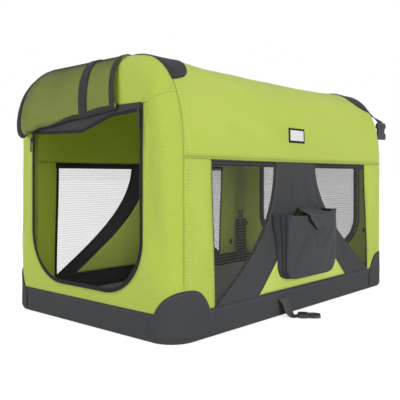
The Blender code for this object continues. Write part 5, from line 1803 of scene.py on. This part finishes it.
patch_rows = []
for end, sx in ENDS:
    for side, sy in SIDES:
        inside = [(x, y, low_dome_top(x, y)) for x, y in corner_path()]
        inside = [(x, y, top) for x, y, top in inside if top > LOW_PATCH_Z + 0.004]
        along = lengths_along([(x, y, 0.0) for x, y, _ in inside])
        rows = 14
        grid = []
        for x, y, top in inside:
            round_x, round_y = x - (END_X - CORNER_RADIUS), y - (SIDE_Y - CORNER_RADIUS)
            away = Vector((max(round_x, 0.0), max(round_y, 0.0), 0.0)).normalized()
            column = []
            for z in steps(LOW_PATCH_Z, top, rows):
                out = PATCH_OUT + PATCH_WAVE * soft_noise(x, y, z, 30.0)
                column.append((sx * (x + away.x * out), sy * (y + away.y * out - bow(x, z)), z))
            grid.append(column)
        threads = (along, steps(0.0, 0.09, rows))
        mesh = cloth_mesh(f"bottom_patch_{end}_{side}", grid, threads, BODY_MIDDLE)
        patch = cloth(mesh, oxford_charcoal, PATCH_CLOTH)
        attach(patch, "carrier")
        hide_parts(f"bottom_corner_patch_{end}_{side}")
        row = []
        for column in grid[1:-1]:
            x, y, z = column[-1]
            away = Vector((x, y, 0.0)).normalized()
            row.append(Vector((x, y, z)) + away * 0.0004 - Vector((0, 0, 0.0045)))
        patch_rows.append(row)

        columns = 26
        reach = TOP_DOME_RADII[0]
        grid = []
        xs = [SEAM_X - reach * sin(a) for a in steps(0.0, pi / 2 * 0.985, 22)]
        for x in xs:
            inside = [s for s in steps(0.0, 3.0, 600) if in_top_dome(x, s)]
            if not inside:
                continue
            stations = steps(inside[0], inside[-1], columns)
            grid.append([roof_at(sx * x, sy * station, TOP_PATCH_LIFT) for station in stations])
        threads = ([SEAM_X - x for x in xs[: len(grid)]], steps(0.0, 0.15, columns))
        mesh = cloth_mesh(f"top_patch_{end}_{side}", grid, threads, BODY_MIDDLE)
        patch = cloth(mesh, shaded_oxford_shoulder, PATCH_CLOTH)
        sewn_on(patch, "charcoal_oxford", f"top_corner_patch_{end}_{side}")
        tall = lengths_along(grid[0])[-1]
        rim = [column[1] for column in grid[:-1]] + grid[-2][1:-1]
        rim += [column[-2] for column in grid[-2::-1]]
        patch_rows.append([p + Vector((0.0, sy * 0.0003, 0.0004)) for p in rim])
sewn_on(sewing("patch_stitches", patch_rows, grey_thread, *PATCH_STITCH), "charcoal_oxford")


# The pocket: charcoal oxford, with a pleated gusset down both sides and under it, sewn on the
# right centre panel. Its mouth gapes, and its hem is turned over and stitched.
POCKET_HALF = 0.100
POCKET_BOTTOM = 0.074
POCKET_TOP = 0.206
POCKET_RADIUS = 0.030
POCKET_DEEP_FOOT = 0.022
POCKET_DEEP_TOP = 0.032
POCKET_WAVE = 0.0022
POCKET_BELLY = 0.0045
POCKET_DIP = 0.005
POCKET_HEM = 0.009
POCKET_CREASES = (
    ((-0.088, 0.082), (-0.028, 0.176), 0.0085, 0.0060),
    ((-0.030, 0.176), (0.012, 0.126), 0.0065, 0.0030),
    ((0.012, 0.126), (0.058, 0.180), 0.0075, 0.0034),
    ((-0.084, 0.198), (-0.088, 0.100), 0.0055, 0.0040),
    ((0.085, 0.190), (0.060, 0.090), 0.0090, 0.0026),
)
PLEATS = (
    (0.94, 0.0008), (0.84, 0.0012), (0.74, -0.0010), (0.66, -0.0012), (0.56, 0.0010),
    (0.46, -0.0012), (0.38, -0.0012), (0.26, 0.0010), (0.14, 0.0002), (0.0, 0.0020),
)
# The pocket, its hem and its flap take a lighter copy of the charcoal oxford: a painted sheen.
POCKET_CHARCOAL_LIT = (0.055, 0.058, 0.065)
oxford_pocket_lit = cloth_material(
    "pocket_oxford_painted_sheen", POCKET_CHARCOAL_LIT, OXFORD_PITCH, fading=0.06, crease=0.0020
)


def pocket_depth(x, z):
    """How far the pocket's face stands off the body's side."""
    rise = smooth_step((z - POCKET_BOTTOM) / (POCKET_TOP - POCKET_BOTTOM))
    gape = 0.004 * rise * x / POCKET_HALF
    return POCKET_DEEP_FOOT + (POCKET_DEEP_TOP - POCKET_DEEP_FOOT) * rise + gape


def pocket_half(z):
    """Half the pocket's width at this height, where it is sewn to the side."""
    return POCKET_HALF - drawn_in(z - POCKET_BOTTOM, POCKET_RADIUS)


def pocket_wall(x, z, deep):
    """A place between the side wall, at deep 0, and the pocket's face, at deep 1."""
    wall = side_y(x, max(z, BAND)) + panel_wave(x, z, -1) + 0.0008
    face = SIDE_Y + pocket_depth(x, z) * (1.0 - 0.22 * (abs(x) / POCKET_HALF) ** 3)
    return -(wall + (face - wall) * deep)


def pocket_face(share, z):
    """A point of the pocket's front, whose mouth draws in at its rear end."""
    up = (z - POCKET_BOTTOM) / (POCKET_TOP - POCKET_BOTTOM)
    drawn = 0.22 * max(share, 0.0) * smooth_step((up - 0.15) / 0.9) + 0.09 * max(-share, 0.0)
    x = share * pocket_half(z) * (1.0 - drawn)
    free = min(1.0, (1 - abs(share)) * 4.0) * min(1.0, up * 6.0)
    out = POCKET_WAVE * free * soft_noise(x, 9.0, z, 15.0) + POCKET_BELLY * free * sin(pi * up)
    for (xa, za), (xb, zb), wide, deep in POCKET_CREASES:
        out -= free * crease((x, 0, z), (xa, 0, za), (xb, 0, zb), wide, deep)
    dip = -POCKET_DIP * up**3 * (smooth_step((0.02 - x) / 0.03) * smooth_step((x + 0.1) / 0.03))
    dip += POCKET_DIP * up**3 * smooth_step((x - 0.050) / 0.02)
    return Vector((x, pocket_wall(x, z, 1.0) - out, z + dip))


heights = steps(POCKET_BOTTOM, POCKET_TOP, 36)
shares = steps(-1.0, 1.0, 48)
bm = bmesh.new()
layer = bm.loops.layers.uv.new("threads")
face_rows = [[bm.verts.new(pocket_face(share, z)) for share in shares] for z in heights]
for below, above in zip(face_rows, face_rows[1:]):
    for j in range(len(shares) - 1):
        bm.faces.new((below[j], below[j + 1], above[j + 1], above[j]))
edge = [row[0] for row in reversed(face_rows)] + face_rows[0][1:-1]
edge += [row[-1] for row in face_rows]
sewn_x = [-pocket_half(z) for z in reversed(heights)] + [v.co.x for v in face_rows[0][1:-1]]
sewn_x += [pocket_half(z) for z in heights]
ring = edge
flat_x, flat_z = POCKET_HALF - POCKET_RADIUS, POCKET_BOTTOM + POCKET_RADIUS
for deep, fold in PLEATS:
    outer = []
    for v, back_x in zip(edge, sewn_x):
        x, z = back_x + (v.co.x - back_x) * deep, v.co.z
        away = Vector((x - max(min(x, flat_x), -flat_x), 0.0, min(z - flat_z, 0.0)))
        away = away.normalized() if away.length > 1e-6 else Vector()
        loose = fold * (1.0 + 0.35 * soft_noise(x, deep * 0.3, z, 30.0))
        y = pocket_wall(x, z, deep)
        outer.append(bm.verts.new((x + away.x * loose, y, z + away.z * loose)))
    for j in range(len(ring) - 1):
        bm.faces.new((ring[j], ring[j + 1], outer[j + 1], outer[j]))
    ring = outer
bmesh.ops.recalc_face_normals(bm, faces=bm.faces)
for face in bm.faces:
    for loop in face.loops:
        co = loop.vert.co
        loop[layer].uv = (co.x + (co.y if abs(co.x) > 0.09 else 0.0), co.z)
mesh = facing_out(mesh_of(bm, "pocket_cloth"), BODY_MIDDLE)
pocket = cloth(mesh, oxford_pocket_lit, PATCH_CLOTH)
sewn_on(pocket, "charcoal_oxford", "pocket")
mouth = [pocket_face(share, POCKET_TOP) + Vector((0.0, -0.0006, -0.0035)) for share in shares]
hem = ribbon("pocket_hem", mouth, upright, POCKET_HEM, oxford_pocket_lit, PATCH_CLOTH)
sewn_on(hem, "charcoal_oxford")
proud = Vector((0.0, -0.0006, 0.0))
shares = steps(-0.97, 0.97, 60)
heights = steps(POCKET_BOTTOM + 0.02, POCKET_TOP - 0.01, 60)
rows = [[pocket_face(share, POCKET_TOP - 0.0085) + proud * 2 for share in shares]]
rows += [[pocket_face(side * 0.965, z) + proud for z in heights] for side in (-1, 1)]
stitches = sewing("pocket_stitches", rows, grey_thread, *PATCH_STITCH)
sewn_on(stitches, "charcoal_oxford")


# The pocket's flap: charcoal oxford sewn to the side above the pocket's mouth, laid over it, and
# cut to a blunt point that hangs over the front. The part past the mouth's edge lifts.
FLAP_EDGE = (
    (-0.040, 0.195), (-0.030, 0.186), (-0.012, 0.1720), (0.034, 0.1765), (0.046, 0.179),
    (0.052, 0.188),
)
FLAP_FROM, FLAP_TO = FLAP_EDGE[0][0], FLAP_EDGE[-1][0]
FLAP_HINGE = (-(SIDE_Y + 0.0291), 0.2065)
FLAP_SLANT = 0.036
FLAP_ROOT_Z = 0.2150
FLAP_SEAM_Z = 0.214
FLAP_LIFT = 0.0012
FLAP_CLOTH = 0.0018
FLAP_ROOT_CLOTH = 0.0016


def flap_low(x):
    """The height of the flap's lower edge."""
    for (xa, za), (xb, zb) in zip(FLAP_EDGE, FLAP_EDGE[1:]):
        if x <= xb:
            return za + (zb - za) * (x - xa) / (xb - xa)
    return FLAP_EDGE[-1][1]


def flap_point(x, share):
    """A point of the flap: share 0 is its fold over the mouth's edge, and 1 its lower edge."""
    low = flap_low(x)
    z = FLAP_HINGE[1] + (low - FLAP_HINGE[1]) * share
    out = 0.0085 * smooth_step(share * 3.0) + 0.0048 * share
    out += 0.0012 * soft_noise(x, 3.0, z, 30.0) * share
    return Vector((x, FLAP_HINGE[0] - out, z + 0.0012 * sin(pi * min(share * 3.0, 1.0))))


middle = (FLAP_FROM + FLAP_TO) / 2
xs = steps(FLAP_FROM, FLAP_TO, 46)
shares = steps(0.0, 1.0, 14)
grid = [[flap_point(x, share) for share in shares] for x in xs]
threads = (xs, [s * 0.034 for s in shares])
mesh = cloth_mesh("pocket_flap_cloth", grid, threads, (middle, -0.2, 0.19))
flap = cloth(mesh, oxford_pocket_lit, FLAP_CLOTH)
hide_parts("pocket_flap")
sewn_on(flap, "charcoal_oxford", body="flap")
along_hem = steps(FLAP_FROM + 0.004, FLAP_TO - 0.004, 60)
rows = [[flap_point(x, 0.84) + Vector((0.0, -0.0004, 0.0)) for x in along_hem]]
stitches = sewing("pocket_flap_stitches", rows, grey_thread, *PATCH_STITCH)
sewn_on(stitches, "charcoal_oxford", body="flap")
grid = []
for along in xs:
    column = []
    for share in steps(0.0, 1.0, 12):
        x = along + FLAP_SLANT * (1.0 - share) * (FLAP_TO - along) / (FLAP_TO - FLAP_FROM)
        wall_y = on_panel(x, FLAP_SEAM_Z, -1, FLAP_LIFT)[1]
        y = wall_y + (FLAP_HINGE[0] - 0.0006 - wall_y) * share
        z = FLAP_ROOT_Z + (FLAP_HINGE[1] + 0.0004 - FLAP_ROOT_Z) * share
        z -= 0.0020 * sin(pi * share)
        column.append((x, y, z + 0.0008 * soft_noise(x, y, 1.0, 40.0) * sin(pi * share)))
    grid.append(column)
mesh = cloth_mesh("pocket_flap_root", grid, (xs, steps(0.0, 0.03, 12)), (middle, -0.25, 0.1))
flap_root = cloth(mesh, oxford_pocket_lit, FLAP_ROOT_CLOTH)
sewn_on(flap_root, "charcoal_oxford")


# The label: a woven rectangle of damask, left bare, in a dark woven border. It is stitched flat to
# the right shoulder.
LABEL_LEFT, LABEL_RIGHT = -0.028, 0.032
LABEL_LOW, LABEL_HIGH = 0.354, 0.386
LABEL_BORDER = 0.0045
LABEL_PITCH = 0.0006
LABEL_CLOTH = 0.0009
LABEL_PALE = (0.72, 0.73, 0.74)
LABEL_DARK = (0.016, 0.016, 0.018)
label_weave = cloth_material("label_weave", LABEL_PALE, LABEL_PITCH, slub=0.03, raised=0.0001)
dark_weave = cloth_material("label_border", LABEL_DARK, LABEL_PITCH, slub=0.03, raised=0.0001)
for label, border, lift, finish, nodes in (
    ("border", 0.0, 0.0010, dark_weave, ["label_patch"]),
    ("field", LABEL_BORDER, 0.0016, label_weave, []),
):
    xs = steps(LABEL_LEFT + border, LABEL_RIGHT - border, 12)
    zs = steps(LABEL_LOW + border, LABEL_HIGH - border, 8)
    grid = [[roof_at(x, -station_at(z), lift) for z in zs] for x in xs]
    mesh = cloth_mesh(f"label_{label}", grid, (xs, zs), BODY_MIDDLE)
    field = cloth(mesh, finish, LABEL_CLOTH)
    sewn_on(field, "charcoal_webbing", *nodes)


# The side strap: flat webbing sewn to the foot of the right side. It twists over to the ground,
# with the prong half of a side-release buckle on its end.
STRAP_X = -0.092
STRAP_Z = 0.036
STRAP_HEADING = radians(-58.0)
STRAP_TWIST = 0.012
STRAP_THICK = 0.0016
BUCKLE_FROM = 0.034
BUCKLE_WIDE = 0.033
BUCKLE_BODY = 0.020
BUCKLE_PRONGS = 0.024
BUCKLE_THICK = 0.0085
WEBBING = 0.025
STRAP_CLEAR = 0.0003
STRAP_GREY = (0.070, 0.070, 0.067)
RIB_WIDTHS = [0.0009] * 2
strap_weave = cloth_material("strap_webbing", STRAP_GREY, 0.0016, slub=0.06, raised=0.0003)
STRAP_ROOT_Y = -(SIDE_Y + STRAP_CLEAR + STRAP_THICK / 2)


def strap_place(r, w, z):
    """A place r along the strap's way over the ground, w across it and z high, as it turns."""
    turned = smooth_step((r - STRAP_TWIST) / (BUCKLE_FROM - STRAP_TWIST))
    across = (STRAP_HEADING + pi / 2) * turned
    x = STRAP_X + cos(STRAP_HEADING) * r + w * cos(across)
    return Vector((x, STRAP_ROOT_Y + sin(STRAP_HEADING) * r + w * sin(across), z))


lying = STRAP_CLEAR + STRAP_THICK / 2
path = [
    (0.0, STRAP_Z),
    (0.005, 0.96 * STRAP_Z),
    (0.011, 0.72 * STRAP_Z),
    (0.016, 0.34 * STRAP_Z),
    (0.022, lying + 0.0022),
    (0.028, lying + 0.0003),
    (BUCKLE_FROM + 0.004, STRAP_CLEAR + BUCKLE_THICK / 2),
]
widths = steps(-WEBBING / 2, WEBBING / 2, 6)
line = smooth_path(path, 8)
grid = [[strap_place(r, w, z) for w in widths] for r, z in line]
threads = (lengths_along([(r, 0.0, z) for r, z in line]), widths)
mesh = cloth_mesh("side_strap_webbing", grid, threads, (STRAP_X, -0.2, 0.05))
strap = cloth(mesh, strap_weave, STRAP_THICK, 0.0)
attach(strap, "side_tie")
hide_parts("side_strap")


def buckle_place(a, b, up):
    """A place on the prong half: a along it from the strap, b across and up off the ground."""
    return strap_place(BUCKLE_FROM + a, b, STRAP_CLEAR + up)


half = BUCKLE_WIDE / 2
tip = BUCKLE_BODY + BUCKLE_PRONGS
plate = [(0.0, 0.80 * half), (0.35 * BUCKLE_BODY, half), (BUCKLE_BODY, 0.94 * half)]
plate = smooth_path(plate, 3)
plate += [(a, -b) for a, b in reversed(plate)]
parts = [(plate, 0.0008, BUCKLE_THICK - 0.0008, 0.0016, buckle_place)]
for a in (0.004, 0.008, 0.012):
    rib = bar([(a, -0.72 * half), (a, 0.72 * half)], RIB_WIDTHS)
    parts.append((rib, BUCKLE_THICK - 0.0012, BUCKLE_THICK, 0.0005, buckle_place))
for hand in (-1, 1):
    line = [
        (BUCKLE_BODY - 0.002, hand * 0.74 * half),
        (BUCKLE_BODY + 0.007, hand * 0.90 * half),
        (BUCKLE_BODY + 0.014, hand * 0.92 * half),
        (tip - 0.003, hand * 0.72 * half),
        (tip, hand * 0.52 * half),
    ]
    prong = bar(smooth_path(line, 3), [0.0021] * 13 + [0.0026, 0.0024, 0.0020, 0.0014])
    parts.append((prong, 0.0016, BUCKLE_THICK - 0.0020, 0.0010, buckle_place))
line = [(a, 0.0) for a in (BUCKLE_BODY - 0.002, BUCKLE_BODY + 0.010, tip - 0.002, tip)]
guide = bar(line, [0.0030, 0.0026, 0.0022, 0.0012])
parts.append((guide, 0.0022, BUCKLE_THICK - 0.0026, 0.0009, buckle_place))
buckle = slabs("side_buckle_prongs", parts, black_nylon)
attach(buckle, "side_tie")
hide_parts("side_buckle")


# The rear strap: a short piece of narrow webbing, sewn to the rear right shoulder. It hangs turned
# aside, with the moulded socket half of the buckle on its end.
REAR_STRAP_Z = 0.452
REAR_STRAP_DROP = 0.028
REAR_WEBBING = 0.020
REAR_TWIST = radians(60.0)
SLANT = sqrt(0.5)
corner_x = END_X - CORNER_RADIUS * (1 - SLANT)


def shoulder_width(x, z):
    """Half the body's width at this height of a shoulder."""
    up = shoulder_point(x, pi / 2)[1] - SHOULDER_Z
    return shoulder_point(x, squared_angle((z - SHOULDER_Z) / up))[0]


corner_y = shoulder_width(corner_x, REAR_STRAP_Z)


def corner_out(z):
    """How far the rounded corner stands out at this height, from where the strap is sewn."""
    return (shoulder_width(corner_x, z) - corner_y) * SLANT


low = REAR_STRAP_Z - REAR_STRAP_DROP
stand_off = BUCKLE_WIDE / 2 * sin(REAR_TWIST) + BUCKLE_THICK / 2 * cos(REAR_TWIST)
buckle_middle = corner_out(low - BUCKLE_BODY - BUCKLE_PRONGS) + CLOTH + stand_off


def rear_place(out, w, z, thick=0.0):
    """A place on the hanging strap: out from the corner, w across it, at height z."""
    turn = REAR_TWIST * smooth_step((REAR_STRAP_Z - z) / REAR_STRAP_DROP)
    out, along = out + w * sin(turn) + thick * cos(turn), w * cos(turn) - thick * sin(turn)
    return Vector((corner_x + SLANT * (out + along), -corner_y + SLANT * (along - out), z))


line = []
for share in steps(0.0, 1.0, 20):
    z = REAR_STRAP_Z - (REAR_STRAP_DROP + 0.003) * share
    near = corner_out(z) + STRAP_CLEAR + STRAP_THICK / 2
    line.append((near + (buckle_middle - near) * smooth_step(share), z))
widths = steps(-REAR_WEBBING / 2, REAR_WEBBING / 2, 5)
grid = [[rear_place(out, w, z) for w in widths] for out, z in line]
threads = (lengths_along([(0.0, *p) for p in line]), widths)
inside = (corner_x - 0.1, -corner_y + 0.1, REAR_STRAP_Z)
mesh = cloth_mesh("rear_strap_webbing", grid, threads, inside)
strap = cloth(mesh, webbing_tape, STRAP_THICK, 0.0)
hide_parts("rear_strap")
sewn_on(strap, "charcoal_webbing", body="rear_tie")


def socket_place(a, b, up):
    """A place on the socket half: a down it from the strap, b across and up outwards."""
    return rear_place(buckle_middle, b, low - a, up)


half = BUCKLE_WIDE / 2
long = BUCKLE_BODY + BUCKLE_PRONGS
shell = [
    (0.0, 0.78 * half),
    (0.12 * long, 0.98 * half),
    (0.30 * long, half),
    (0.34 * long, 0.72 * half),
    (0.62 * long, 0.70 * half),
    (0.67 * long, half),
    (0.92 * long, 0.96 * half),
    (long, 0.84 * half),
]
shell += [(a, -b) for a, b in reversed(shell)]
inner = [(0.02 * long, 0.70 * half), (0.96 * long, 0.86 * half)]
inner += [(a, -b) for a, b in reversed(inner)]
parts = [
    (shell, -BUCKLE_THICK / 2, BUCKLE_THICK / 2, 0.0014, socket_place),
    (inner, -0.0026, 0.0026, 0.0008, socket_place),
]
for a in (0.10, 0.18, 0.26):
    rib = bar([(a * long, -0.6 * half), (a * long, 0.6 * half)], RIB_WIDTHS)
    face = BUCKLE_THICK / 2
    parts.append((rib, face - 0.0004, face + 0.0008, 0.0004, socket_place))
buckle = slabs("rear_buckle_socket", parts, black_nylon)
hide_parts("rear_buckle")
sewn_on(buckle, "black_plastic", body="rear_tie")


# The seams: pale double rows beside the end seams, dark rows along the windows and the band, and
# single rows round every patch.
PATCH_TOP_Z = 0.102
OFF_CLOTH = 0.0006
LIME_OFF_CLOTH = 0.0007
SEAM_ROWS = (SEAM_X - 0.004, SEAM_X - 0.0125)
SEAM_STITCH = (0.0056, 0.0030, 0.0011)
SEAM_SHADE_LINE = (0.0016, 0.0017, 0.0007)
HEADER_STITCH = (0.0034, 0.0028, 0.0009)
rows = []
for sx in (-1, 1):
    for x in SEAM_ROWS:
        for sy in (-1, 1):
            row = [on_strip(x, z, sy, LIME_OFF_CLOTH) for z in steps(PATCH_TOP_Z, WINDOW_TOP, 60)]
            rows.append([(sx * x, y, z) for _, y, z in row])
        stations = steps(-ROOF_FOOT, ROOF_FOOT, 160)
        rows.append([roof_at(sx * x, station, LIME_OFF_CLOTH) for station in stations])
sewn_on(sewing("end_seam_stitches", rows, lime_thread, *SEAM_STITCH), "lime_oxford")
# Dark thread laid bead to bead on the end seams and window line: partly the seam, partly painted
# shade.
rows = []
patch_station = station_at(PATCH_TOP_Z)
for sx in (-1, 1):
    x = sx * SEAM_X
    stations = steps(-patch_station, patch_station, 160)
    rows.append([skin(x, station) + outwards(x, station) * OFF_CLOTH for station in stations])
for sy in (-1, 1):
    xs = steps(-SEAM_X, SEAM_X, 60)
    rows.append([(x, sy * (side_y(x, WINDOW_TOP) + 0.0004), WINDOW_TOP) for x in xs])
sewn_on(sewing("seam_lines_painted_shade", rows, deep_thread, *SEAM_SHADE_LINE), "lime_oxford")
rows = []
header_half, header_station = flat_half(DOOR_TOP)
for sx in (-1, 1):
    for sy in (-1, 1):
        row = [
            on_end((sx * END_X, sy * y, DOOR_TOP), sx, OFF_CLOTH, (sx, 0.0, 0.0))
            for y in steps(DOOR_HALF + 0.003, header_half, 12)
        ]
        for reach in steps(0.0004, SEAM_BACK, 24):
            x = sx * (END_X - reach)
            facing = outwards(x, sy * header_station)
            row.append(on_end(skin(x, sy * header_station), sx, OFF_CLOTH, facing))
        rows.append(row)
sewn_on(sewing("header_seam", rows, deep_thread, *HEADER_STITCH), "lime_oxford")
rows = []
x = WINDOW_X + 0.004
xs = steps(-SEAM_X + 0.004, SEAM_X - 0.004, 120)
zs = steps(BAND + 0.004, WINDOW_TOP - 0.004, 60)
for sy in (-1, 1):
    station = sy * station_at(WINDOW_TOP + 0.0045)
    rows.append([roof_at(x, station, OFF_CLOTH) for x in xs])
    for sx in (-1, 1):
        row = [on_strip(x, z, sy, OFF_CLOTH) for z in zs]
        rows.append([(sx * x, y, z) for _, y, z in row])
sewn_on(sewing("window_stitches", rows, deep_thread, *PATCH_STITCH), "lime_oxford")
rows = []
for sy in (-1, 1):
    for sx in (-1, 1):
        zs = steps(BAND + 0.004, WINDOW_TOP - 0.004, 80)
        rows.append([on_panel(sx * (curve_x(z) - 0.005), z, sy, OFF_CLOTH) for z in zs])
band_row = [(x, y, BAND - 0.0045) for x, y in plan(-0.0007)]
rows.append(band_row + band_row[:1])
sewn_on(sewing("panel_stitches", rows, grey_thread, *PATCH_STITCH), "charcoal_oxford")
